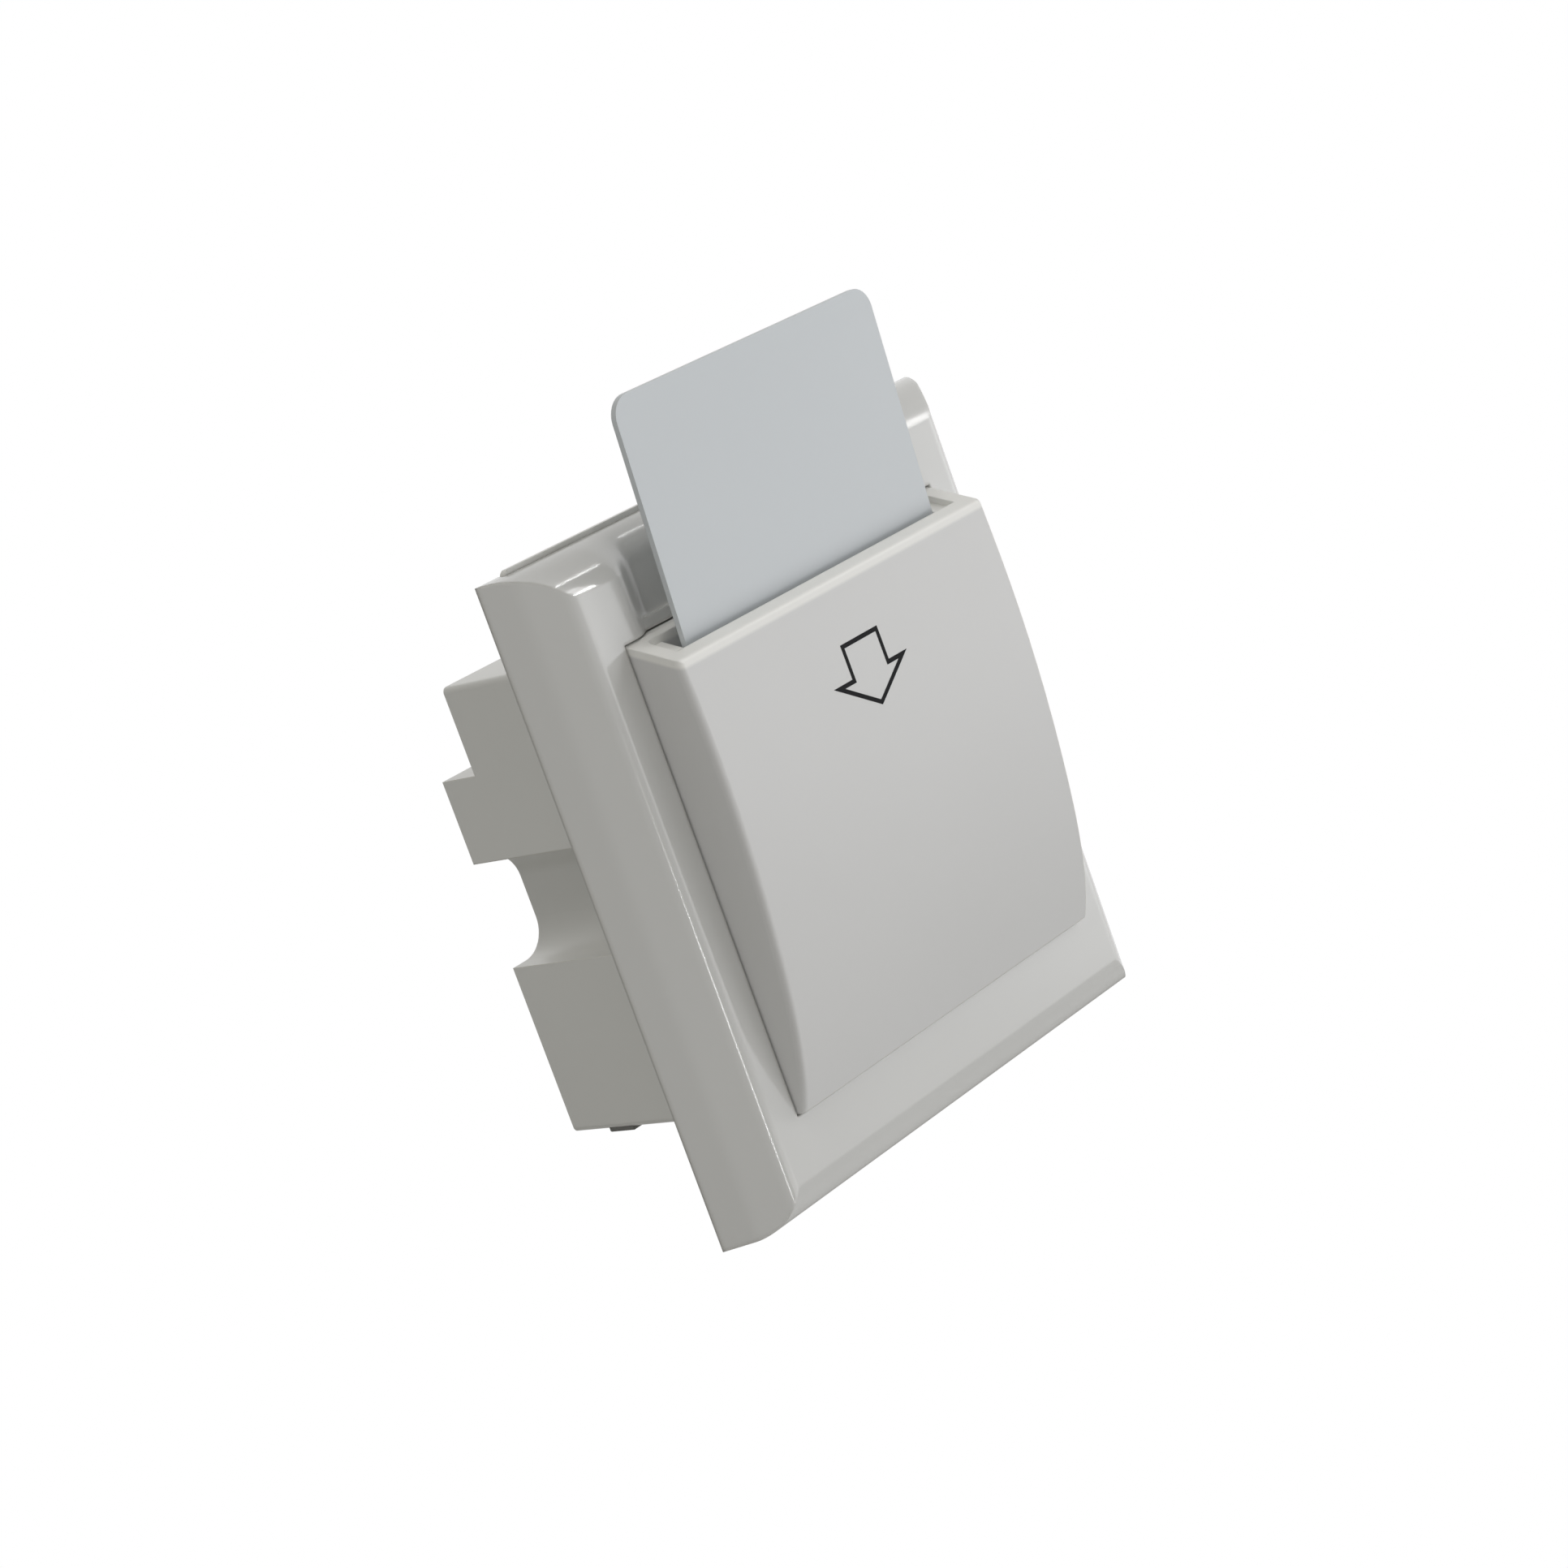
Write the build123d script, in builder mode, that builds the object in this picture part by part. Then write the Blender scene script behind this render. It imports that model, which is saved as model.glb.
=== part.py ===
from build123d import *
import math
import os

# Key card switch for a flush wall box. Millimetres.
# The wall plane is y = 0: the front faces -Y, the wall box side is +Y, up is +Z.
# The origin is the middle of the wall plane, halfway between the two wall screws.

# Face plate
plate_size = 92.0
frame_depth = 8.6
side_crease_inset = 2.8
side_crease_depth = 4.1
side_ridge_inset = 7.3
crease_radius = 7.0
ridge_radius = 3.0
bottom_edge_round = 4.7
top_edge_drop = 5.4
top_edge_start = 0.4
frame_wall = 2.2
frame_rib_count = 4
frame_rib_pitch = 18.0
frame_rib_thickness = 1.0
cut_over = 1.0

# Finger scoop behind the card, above the slot
scoop_depth = 3.6
scoop_lip_inset = 2.0
scoop_floor_half = 23.0
scoop_wall = 1.6
scoop_steps = 4

# Mounting plate that the frame clips onto
base_thickness = 2.4
base_gap = 0.2
base_corner = 1.0
base_rim_thickness = 1.0
base_rim_rise = 0.55
base_side_inset = 4.7
base_window_half = 8.0
base_window_top = -17.0
base_window_bottom = -32.5
screw_spacing = 60.3
screw_slot_width = 4.4
screw_slot_length = 8.4
clip_reach = 38.0
clip_height = 22.0
clip_length = 6.0
clip_thickness = 1.5
clip_hook = 0.7
clip_clearance = 0.2
clip_catch = 0.8

# Card pocket cover
cover_top = 32.1
cover_bottom = -33.0
cover_rear_depth = 8.2
cover_foot_depth = 9.6
cover_top_drop = 3.3
cover_front_depth = 16.35
cover_belly = (16.75, 14.0)
cover_waist = (15.2, -10.5)
cover_toe_angle = 28.0
cover_brow_angle = 3.0
cover_wall = 2.2
cover_side_wall = 2.7
cover_rear_wall = 1.1
cover_rear_lip = 10.0
cover_tuck = 3.4
cover_gap = 0.25
cover_edge_radius = 0.9
slot_corner = 1.2
snap_height = 20.0
snap_length = 8.0
snap_thickness = 1.5
snap_barb = 0.6
snap_reach = 2.8
snap_front = 3.7
snap_clearance = 0.3

# Key card, standard identity card size
card_width = 54.0
card_height = 85.6
card_thickness = 0.8
card_corner = 3.18
card_tilt = 3.63
card_foot_depth = 9.05
card_foot_height = -23.3

# Card guide: the rear wall and rails of the card channel
guide_gap = 0.45
guide_wall = 1.5
guide_side_gap = 0.5
guide_rail = 1.6
guide_top = 33.0
guide_foot = 7.0
guide_slot_half = 3.6
guide_rail_rise = 0.8
guide_shelf_half = 3.4
guide_shelf_height = 1.0
guide_shelf_reach = 0.6
screw_head_room = 5.0
screw_head_height = 4.0
guide_boss_radius = 3.0
guide_cover_gap = 1.2
guide_boss_floor = 0.5
guide_spigot_height = 1.0
guide_screw_x = 19.0
guide_screw_z = 6.0

# Actuator that the card pushes down
actuator_travel = 4.0
actuator_bar_half = 9.0
actuator_bar_height = 3.0
actuator_thickness = 1.6
actuator_arm_half = 3.2
actuator_arm_height = 2.2
actuator_arm_lift = 0.6
actuator_post_depth = 3.6
actuator_reach = 8.4
actuator_finger = 5.3
actuator_finger_height = 1.8
actuator_clearance = 0.3
touch_gap = 0.05
spring_wire = 0.45
spring_radius = 1.8
spring_turns = 4.0
spring_y = -3.2

# Leaf springs that steady the card
leaf_x = 14.0
leaf_width = 6.0
leaf_length = 20.0
leaf_centre = 12.0
leaf_thickness = 0.2
leaf_recess = 0.7
leaf_card_gap = 0.12
leaf_side_gap = 0.2
leaf_end_gap = 0.4

# Rear housing in the wall box
housing_half_width = 34.5
housing_half_height = 32.1
housing_depth = 31.7
housing_step_depth = 25.2
housing_step_height = 19.6
housing_wall = 1.6
housing_corner = 0.8
notch_reach = 7.2
notch_half_height = 7.6
notch_radius = 4.6
boss_radius = 3.0
boss_pilot = 1.1
housing_screw_hole = 1.5
housing_screw_head = 2.6
boss_inset = 4.3
boss_pilot_depth = 9.0
boss_root = 0.5
screw_shank = 1.05
screw_recess_width = 0.6
screw_recess_length = 2.4
screw_recess_depth = 0.9
guide_screw_head = 2.4
guide_screw_head_height = 1.6
guide_screw_length = 5.2
housing_screw_length = 8.0
lug_width = 5.4
lug_height = 1.1
lug_y = 15.0

# Circuit board and what it carries
board_depth = 10.2
board_thickness = 1.6
board_clearance = 0.5
post_radius = 2.6
post_x = 21.0
post_z = 24.0
board_screw_radius = 1.25
board_screw_pilot = 1.0
board_screw_length = 5.0
board_screw_head = 2.1
board_screw_head_height = 1.3

# Parts that stand on the circuit board: middle x, middle z, width, height, depth
relay_box = (-10.5, 0.5, 27.0, 15.0, 16.0)
relay_rib = 0.6
film_box = (15.0, 3.0, 18.0, 8.4, 14.0)
rectifier_box = (-18.0, 13.6, 9.0, 4.6, 9.0)
capacitor_radius = 4.0
capacitor_length = 13.5
capacitor_x = (9.0, 18.6)
capacitor_z = 13.0
capacitor_groove = 0.35
varistor_radius = 5.0
varistor_thickness = 3.6
varistor_x = 16.0
varistor_z = -6.8
fuse_radius = 2.6
fuse_length = 20.0
fuse_cap = 5.0
fuse_x = -12.0
fuse_z = -11.6
resistor_radius = 1.25
resistor_length = 6.6
resistor_x = (-10.0, 3.0)
resistor_z = (21.5, 26.5)
lead_radius = 0.35
lead_rise = 1.6
lead_overhang = 2.0

# Snap-action switch on the board
switch_length = 19.8
switch_height = 10.2
switch_thickness = 6.4
switch_side = 4.0
lever_height = -9.5
lever_rise = 1.0
lever_length = 17.0
lever_thickness = 0.3
lever_width = 4.0
lever_hinge_inset = 2.2
lever_knuckle = 0.8
lever_pin = 0.4
pin_clearance = 0.05
plunger_radius = 0.8
plunger_clearance = 0.06
plunger_offset = 4.6
plunger_length = 3.0
switch_leg_length = 3.0
switch_leg_width = 1.0
switch_leg_thickness = 0.6
switch_leg_pitch = 7.2
switch_leg_count = 3
switch_leg_drop = 3.1
switch_leg_hole = 0.75
switch_ear = 1.0
switch_ear_rise = 1.9

# Wire terminals
terminal_count = 4
terminal_pitch = 7.5
terminal_height = 12.6
terminal_z = -21.6
terminal_entry = 3.8
terminal_screw_radius = 1.5
terminal_rim = 1.6
terminal_clearance = 0.3
terminal_screw_inset = 6.0
terminal_recess = 0.5
terminal_entry_z = -19.6
terminal_thread = 1.2
terminal_screw_head = 1.6
clamp_width = 5.0
clamp_height = 7.4
clamp_depth = 5.5
clamp_wall = 0.6
clamp_sole = 1.6
clamp_tail = 0.8
clamp_fit = 0.2


# Derived places
plate_half = plate_size / 2
card_angle = math.radians(card_tilt)
card_up = (0, -math.sin(card_angle), math.cos(card_angle))
card_out = (0, -math.cos(card_angle), -math.sin(card_angle))
card_plane = Plane(origin=(0, -card_foot_depth, card_foot_height), x_dir=(1, 0, 0), z_dir=card_out)
board_front = board_depth
board_rear = board_depth + board_thickness
housing_inside = housing_depth - housing_wall
step_inside = housing_step_depth - housing_wall
guide_half = card_width / 2 + guide_side_gap + guide_rail
slot_half = guide_half + guide_cover_gap
cover_half = slot_half + cover_side_wall
scoop_lip_half = cover_half - scoop_lip_inset
window_half = cover_half + cover_gap
window_top = cover_top + cover_gap
window_bottom = cover_bottom - cover_gap
base_half_width = plate_half - base_side_inset
base_half_height = plate_half - frame_wall - base_gap
cavity_half = base_half_width + base_gap
boss_x = housing_half_width - boss_inset
boss_z = housing_half_height - boss_inset
card_side = Plane(origin=card_plane.origin, x_dir=card_up, z_dir=(1, 0, 0))
slot_front = cover_front_depth - cover_wall
guide_top_z = card_foot_height + guide_top * math.cos(card_angle)
guide_bottom_z = card_foot_height - guide_foot * math.cos(card_angle)
guide_slot_rise = actuator_travel + actuator_bar_height + 2 * actuator_clearance
shelf_top = guide_bottom_z + guide_shelf_height
foot_bottom = housing_screw_head + guide_side_gap - boss_z
arm_bottom = card_foot_height - actuator_bar_height + actuator_arm_lift
finger_bottom = lever_height + lever_thickness / 2 + 2 * touch_gap
terminal_length = terminal_count * terminal_pitch + terminal_rim
terminal_screw_y = housing_depth - terminal_screw_inset
terminal_rear = housing_depth - terminal_recess
terminal_bottom = terminal_z - terminal_height / 2
clamp_top = terminal_entry_z + terminal_entry / 2 + clamp_wall
clamp_bottom = clamp_top - clamp_height
switch_mid_y = board_front - switch_thickness / 2
switch_mid_x = switch_side + switch_length / 2
switch_top = lever_height - lever_rise
hinge_x = switch_side + switch_length - lever_hinge_inset
plunger_x = hinge_x - plunger_offset
plunger_top = lever_height - lever_thickness / 2 - touch_gap


def wall_plane(y):
    """Plane parallel to the wall at depth y: local x is X, local y is Z, its normal points to the front."""
    return Plane(origin=(0, y, 0), x_dir=(1, 0, 0), z_dir=(0, -1, 0))


def guide_back_y(z):
    """Depth of the card guide's rear surface at height z."""
    behind = (card_thickness / 2 + guide_gap + guide_wall) / math.cos(card_angle)
    return behind - card_foot_depth - (z - card_foot_height) * math.tan(card_angle)


def frame_outline(front_y, top, bottom, drop):
    """Side outline of the frame: a box whose top curves down by drop on its way to the front."""
    Polyline((-top_edge_start, top), (0, top), (0, bottom), (front_y, bottom), (front_y, top - drop))
    TangentArc((-top_edge_start, top), (front_y, top - drop), tangent=(-1, 0))


def finish(builder, name):
    """Label a finished piece and write it to its own file."""
    builder.part.label = name
    export_step(builder.part, "parts/" + name + ".step")


os.makedirs("parts", exist_ok=True)


# Front frame: slanted sides, rounded top and bottom, hollow behind
with BuildPart() as frame_cavity:
    with BuildSketch(Plane.XY.offset(-plate_half + frame_wall)):
        with BuildLine():
            Polyline(
                (-cavity_half, 0),
                (-cavity_half, -base_thickness - base_gap),
                (-plate_half + side_ridge_inset + frame_wall / 2, frame_wall - frame_depth),
                (plate_half - side_ridge_inset - frame_wall / 2, frame_wall - frame_depth),
                (cavity_half, -base_thickness - base_gap),
                (cavity_half, 0),
                close=True,
            )
        make_face()
    extrude(amount=plate_size - 2 * frame_wall)
    with BuildSketch(Plane.YZ) as cavity_side:
        cavity_depth = frame_depth - frame_wall
        cavity_top = plate_half - frame_wall
        with BuildLine():
            frame_outline(-cavity_depth, cavity_top, -cavity_top, top_edge_drop * cavity_depth / frame_depth)
        make_face()
        cavity_corner = cavity_side.vertices().group_by(Axis.X)[0].sort_by(Axis.Y)[0]
        fillet(cavity_corner, bottom_edge_round - frame_wall / 2)
    extrude(amount=plate_half, both=True, mode=Mode.INTERSECT)
    # solid stock stays behind the scoop
    with BuildSketch(wall_plane(0)):
        with Locations((0, plate_half)):
            Rectangle(2 * (scoop_lip_half + scoop_wall), 2 * (plate_half - window_top))
    scoop_back = frame_depth - scoop_depth - scoop_wall
    extrude(amount=frame_depth, mode=Mode.SUBTRACT)
    with BuildSketch(wall_plane(0)):
        with Locations((0, (plate_half - top_edge_drop + window_top) / 2)):
            Rectangle(2 * (scoop_lip_half + scoop_wall), plate_half - top_edge_drop - window_top)
    extrude(amount=scoop_back)

with BuildPart() as front_frame:
    with BuildSketch(Plane.XY.offset(-plate_half)) as plan:
        with BuildLine():
            Polyline(
                (-plate_half, 0),
                (-plate_half + side_crease_inset, -side_crease_depth),
                (-plate_half + side_ridge_inset, -frame_depth),
                (plate_half - side_ridge_inset, -frame_depth),
                (plate_half - side_crease_inset, -side_crease_depth),
                (plate_half, 0),
                close=True,
            )
        make_face()
        fillet(plan.vertices().group_by(Axis.Y)[1], crease_radius)
        fillet(plan.vertices().group_by(Axis.Y)[0], ridge_radius)
    extrude(amount=plate_size)
    with BuildSketch(Plane.YZ) as side:
        with BuildLine():
            frame_outline(-frame_depth, plate_half, -plate_half, top_edge_drop)
        make_face()
        fillet(side.vertices().group_by(Axis.X)[0].sort_by(Axis.Y)[0], bottom_edge_round)
    extrude(amount=plate_half, both=True, mode=Mode.INTERSECT)
    # scoop: a shallow valley in the front that fades out over the curved top edge
    rim_low = window_top - frame_wall
    with BuildSketch(wall_plane(0)):
        with Locations((0, plate_half)):
            Rectangle(2 * scoop_lip_half, 2 * (plate_half - window_top + frame_wall))
    extrude(amount=frame_depth + cut_over, mode=Mode.SUBTRACT)
    with BuildSketch(Plane.YZ.offset(-scoop_floor_half)):
        with BuildLine():
            frame_outline(scoop_depth - frame_depth, plate_half, rim_low, top_edge_drop)
        make_face()
    extrude(amount=2 * scoop_floor_half)
    for side_sign in (-1, 1):
        for step in range(scoop_steps + 1):
            share = step / scoop_steps
            section_x = scoop_lip_half - share * (scoop_lip_half - scoop_floor_half)
            with BuildSketch(Plane.YZ.offset(side_sign * section_x)):
                with BuildLine():
                    dip = scoop_depth * share * share * (3 - 2 * share)
                    frame_outline(dip - frame_depth, plate_half, rim_low, top_edge_drop)
                make_face()
        loft()
    add(frame_cavity.part, mode=Mode.SUBTRACT)
    # seat of the mounting plate, and of its thin rim that reaches out above and below
    with BuildSketch(wall_plane(0)):
        Rectangle(2 * cavity_half, plate_size - 2 * frame_wall)
    extrude(amount=base_thickness + base_gap, mode=Mode.SUBTRACT)
    with BuildSketch(wall_plane(0)):
        Rectangle(2 * cavity_half, plate_size + cut_over)
    extrude(amount=base_rim_thickness + base_gap, mode=Mode.SUBTRACT)
    # window for the card pocket, with a rim behind it
    with BuildSketch(wall_plane(-base_thickness - base_gap)):
        with Locations((0, (window_top + window_bottom) / 2)):
            Rectangle(2 * (window_half + scoop_wall), window_top - window_bottom + 2 * scoop_wall)
    extrude(amount=frame_depth - frame_wall - base_thickness - base_gap)
    with BuildSketch(wall_plane(0)):
        with Locations((0, (window_top + window_bottom) / 2)):
            Rectangle(2 * window_half, window_top - window_bottom)
    extrude(amount=frame_depth + cut_over, mode=Mode.SUBTRACT)
    # stiffening ribs between the window and the bottom wall
    rib_top = window_bottom - scoop_wall
    rib_bottom = frame_wall - plate_half
    with BuildSketch(wall_plane(-base_thickness - base_gap)):
        with Locations((0, (rib_top + rib_bottom) / 2)):
            with GridLocations(frame_rib_pitch, 1, frame_rib_count, 1):
                Rectangle(frame_rib_thickness, rib_top - rib_bottom)
    extrude(amount=frame_depth - frame_wall - base_thickness - base_gap)
    # notches in the rim that the cover snaps into
    with BuildSketch(wall_plane(0)):
        for side_sign in (-1, 1):
            notch_x = side_sign * (cover_half + (snap_barb + snap_clearance) / 2)
            with Locations((notch_x, -snap_height), (notch_x, snap_height)):
                Rectangle(snap_barb + snap_clearance, snap_length + 2 * snap_clearance)
    extrude(amount=snap_front, mode=Mode.SUBTRACT)
    # clip legs, each with a hook behind the mounting plate's ledge
    for side_sign in (-1, 1):
        with BuildSketch(wall_plane(-clip_catch)):
            with Locations((side_sign * clip_reach, -clip_height), (side_sign * clip_reach, clip_height)):
                Rectangle(clip_thickness, clip_length)
        extrude(amount=frame_depth - frame_wall)
        hook_x = side_sign * (clip_reach - (clip_thickness + clip_hook) / 2)
        with BuildSketch(wall_plane(-clip_catch)):
            with Locations((hook_x, -clip_height), (hook_x, clip_height)):
                Rectangle(clip_hook, clip_length)
        extrude(amount=clip_catch)
finish(front_frame, "front_frame")


# Mounting plate: its rim shows above and below the frame
with BuildPart() as base_plate:
    with BuildSketch(wall_plane(0)) as base_outline:
        Rectangle(2 * base_half_width, 2 * base_half_height)
        fillet(base_outline.vertices(), base_corner)
    extrude(amount=base_thickness)
    # thin rim that stands out above and below the frame
    with BuildSketch(wall_plane(0)) as base_rim:
        Rectangle(2 * base_half_width, plate_size + 2 * base_rim_rise)
        fillet(base_rim.vertices(), base_corner)
    extrude(amount=base_rim_thickness)
    # way through for the actuator arm
    with BuildSketch(wall_plane(0)):
        with Locations((0, (base_window_top + base_window_bottom) / 2)):
            Rectangle(2 * base_window_half, base_window_top - base_window_bottom)
    extrude(amount=base_thickness, mode=Mode.SUBTRACT)
    # slotted holes for the wall box screws
    with BuildSketch(wall_plane(0)):
        with Locations((-screw_spacing / 2, 0), (screw_spacing / 2, 0)):
            SlotOverall(screw_slot_length, screw_slot_width)
    extrude(amount=base_thickness, mode=Mode.SUBTRACT)
    # clip slots, each with a pocket behind for the hook
    pocket_length = clip_length + 2 * clip_clearance
    for side_sign in (-1, 1):
        with BuildSketch(wall_plane(0)):
            with Locations((side_sign * clip_reach, -clip_height), (side_sign * clip_reach, clip_height)):
                Rectangle(clip_thickness + 2 * clip_clearance, pocket_length)
        extrude(amount=base_thickness, mode=Mode.SUBTRACT)
        pocket_x = side_sign * (clip_reach - clip_hook / 2)
        with BuildSketch(wall_plane(0)):
            with Locations((pocket_x, -clip_height), (pocket_x, clip_height)):
                Rectangle(clip_thickness + clip_hook + 2 * clip_clearance, pocket_length)
        extrude(amount=2 * clip_catch + clip_clearance, mode=Mode.SUBTRACT)
    # countersunk holes for the housing screws, plain holes for the guide screws
    with Locations(wall_plane(-base_thickness)):
        with GridLocations(2 * boss_x, 2 * boss_z, 2, 2):
            CounterSinkHole(housing_screw_hole, housing_screw_head, counter_sink_angle=90)
        with Locations((-guide_screw_x, guide_screw_z), (guide_screw_x, guide_screw_z)):
            Hole(housing_screw_hole)
finish(base_plate, "base_plate")


def wedge_outline(inset, tuck):
    """Side outline of the cover: its front moved back by inset, its rear at the depth tuck."""
    toe = math.radians(cover_toe_angle)
    front = Spline(
        (inset - cover_front_depth, cover_top - cover_top_drop),
        (inset - cover_belly[0], cover_belly[1]),
        (inset - cover_waist[0], cover_waist[1]),
        (inset - cover_foot_depth, cover_bottom),
        tangents=[(-math.sin(math.radians(cover_brow_angle)), -1), (math.sin(toe), -math.cos(toe))],
    )
    Polyline(
        front @ 1,
        (-tuck, cover_bottom),
        (-tuck, cover_top),
        (-cover_rear_depth, cover_top),
        front @ 0,
    )


# Card pocket cover: a wedge with the card slot along its top
with BuildPart() as card_cover:
    with BuildSketch(Plane.YZ):
        with BuildLine():
            wedge_outline(0, frame_depth - cover_tuck)
        make_face()
    extrude(amount=cover_half, both=True)
    rim_edges = card_cover.faces().sort_by(Axis.Y)[0].edges()
    rim_sides = rim_edges.filter_by(lambda edge: abs(edge.center().X) > cover_half - cover_gap)
    rim_top = rim_edges.filter_by(Axis.X).sort_by(Axis.Z)[-1:]
    fillet(rim_sides + rim_top, cover_edge_radius)
    # hollow that follows the front wall and opens at the back
    with BuildSketch(Plane.YZ):
        with BuildLine():
            wedge_outline(cover_wall, 0)
        make_face()
        with Locations((-cover_front_depth, cover_bottom + cover_wall)):
            Rectangle(
                2 * cover_front_depth,
                cover_top - cover_rear_lip - cover_bottom - cover_wall,
                align=(Align.CENTER, Align.MIN),
                mode=Mode.INTERSECT,
            )
    extrude(amount=slot_half, both=True, mode=Mode.SUBTRACT)
    # slot mouth
    with BuildSketch(Plane.XY.offset(cover_top - cover_rear_lip)) as slot_mouth:
        with Locations((0, -(cover_rear_depth + cover_rear_wall + slot_front) / 2)):
            Rectangle(2 * slot_half, slot_front - cover_rear_depth - cover_rear_wall)
        fillet(slot_mouth.vertices().group_by(Axis.Y)[-1], slot_corner)
    extrude(amount=cover_rear_lip + cut_over, mode=Mode.SUBTRACT)
    # snap legs on both sides, each with a barb
    for side_sign in (-1, 1):
        leg_x = side_sign * (cover_half - snap_thickness / 2)
        with BuildSketch(wall_plane(-snap_reach)):
            with Locations((leg_x, -snap_height), (leg_x, snap_height)):
                Rectangle(snap_thickness, snap_length)
        extrude(amount=frame_depth - snap_reach)
        barb_x = side_sign * (cover_half + snap_barb / 2)
        with BuildSketch(wall_plane(-snap_reach)):
            with Locations((barb_x, -snap_height), (barb_x, snap_height)):
                Rectangle(snap_barb, snap_length)
        extrude(amount=snap_front - snap_reach)
finish(card_cover, "card_cover")


# Key card
with BuildPart() as key_card:
    with BuildSketch(card_plane.offset(-card_thickness / 2)):
        with Locations((0, card_height / 2)):
            RectangleRounded(card_width, card_height, card_corner)
    extrude(amount=card_thickness)
finish(key_card, "key_card")


# Card guide: rear wall, rails and feet of the card channel
with BuildPart() as card_guide:
    with BuildSketch(card_plane.offset(-card_thickness / 2 - guide_gap)):
        with Locations((0, -guide_foot)):
            Rectangle(2 * guide_half, guide_top + guide_foot, align=(Align.CENTER, Align.MIN))
    extrude(amount=-guide_wall)
    # rails beside the card
    with BuildSketch(card_plane.offset(-card_thickness / 2 - guide_gap)):
        with Locations((-guide_half + guide_rail / 2, 0), (guide_half - guide_rail / 2, 0)):
            Rectangle(guide_rail, guide_top, align=(Align.CENTER, Align.MIN))
    extrude(amount=guide_gap + card_thickness + guide_rail_rise)
    # feet that stand on the mounting plate
    with BuildSketch(Plane.YZ.offset(-guide_half)):
        with BuildLine():
            Polyline(
                (-base_thickness, foot_bottom),
                (-base_thickness, guide_top_z),
                (guide_back_y(guide_top_z), guide_top_z),
                (guide_back_y(foot_bottom), foot_bottom),
                close=True,
            )
        make_face()
    extrude(amount=guide_rail)
    mirror(card_guide.part, about=Plane.YZ)
    # room for the heads of the wall screws
    with BuildSketch(wall_plane(-base_thickness)):
        with Locations((-screw_spacing / 2, 0), (screw_spacing / 2, 0)):
            Rectangle(2 * screw_head_room, 2 * screw_head_room)
    extrude(amount=screw_head_height, mode=Mode.SUBTRACT)
    # screw bosses
    with BuildSketch(wall_plane(-base_thickness)):
        with Locations((-guide_screw_x, guide_screw_z), (guide_screw_x, guide_screw_z)):
            Circle(guide_boss_radius)
    boss_height = -guide_back_y(guide_screw_z) - base_thickness
    extrude(amount=boss_height)
    with BuildSketch(wall_plane(-base_thickness)):
        with Locations((-guide_screw_x, guide_screw_z), (guide_screw_x, guide_screw_z)):
            Circle(boss_pilot)
    extrude(amount=boss_height - guide_boss_floor, mode=Mode.SUBTRACT)
    # slot that the actuator arm travels in
    with BuildSketch(card_plane):
        with Locations((0, -actuator_bar_height - actuator_clearance)):
            Rectangle(2 * guide_slot_half, guide_slot_rise, align=(Align.CENTER, Align.MIN))
    extrude(amount=-guide_gap - card_thickness - guide_wall, mode=Mode.SUBTRACT)
    # shelf and spigot for the return spring
    with BuildSketch(Plane.XY.offset(shelf_top - guide_shelf_height)):
        with Locations((0, -guide_shelf_reach)):
            shelf_depth = -guide_back_y(shelf_top) - guide_shelf_reach
            Rectangle(2 * guide_shelf_half, shelf_depth, align=(Align.CENTER, Align.MAX))
    extrude(amount=guide_shelf_height)
    with BuildSketch(Plane.XY.offset(shelf_top)):
        with Locations((0, spring_y)):
            Circle(spring_radius - spring_wire)
    extrude(amount=guide_spigot_height)
    # recesses for the leaf springs
    with BuildSketch(card_plane.offset(-card_thickness / 2 - guide_gap)):
        with Locations((-leaf_x, leaf_centre), (leaf_x, leaf_centre)):
            Rectangle(leaf_width + 2 * leaf_side_gap, leaf_length + 2 * leaf_end_gap)
    extrude(amount=-leaf_recess, mode=Mode.SUBTRACT)
finish(card_guide, "card_guide")


# Leaf springs, bowed towards the card
with BuildPart() as leaf_springs:
    leaf_floor = -card_thickness / 2 - guide_gap - leaf_recess
    leaf_apex = -card_thickness / 2 - leaf_card_gap - leaf_thickness
    for leaf_sign in (-1, 1):
        with BuildSketch(card_side.offset(leaf_sign * leaf_x - leaf_width / 2)):
            with BuildLine():
                leaf_low = leaf_centre - leaf_length / 2
                leaf_high = leaf_centre + leaf_length / 2
                ThreePointArc((leaf_low, leaf_floor), (leaf_centre, leaf_apex), (leaf_high, leaf_floor))
                Line((leaf_high, leaf_floor), (leaf_high, leaf_floor + leaf_thickness))
                ThreePointArc(
                    (leaf_high, leaf_floor + leaf_thickness),
                    (leaf_centre, leaf_apex + leaf_thickness),
                    (leaf_low, leaf_floor + leaf_thickness),
                )
                Line((leaf_low, leaf_floor + leaf_thickness), (leaf_low, leaf_floor))
            make_face()
        extrude(amount=leaf_width)
finish(leaf_springs, "leaf_springs")


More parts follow.
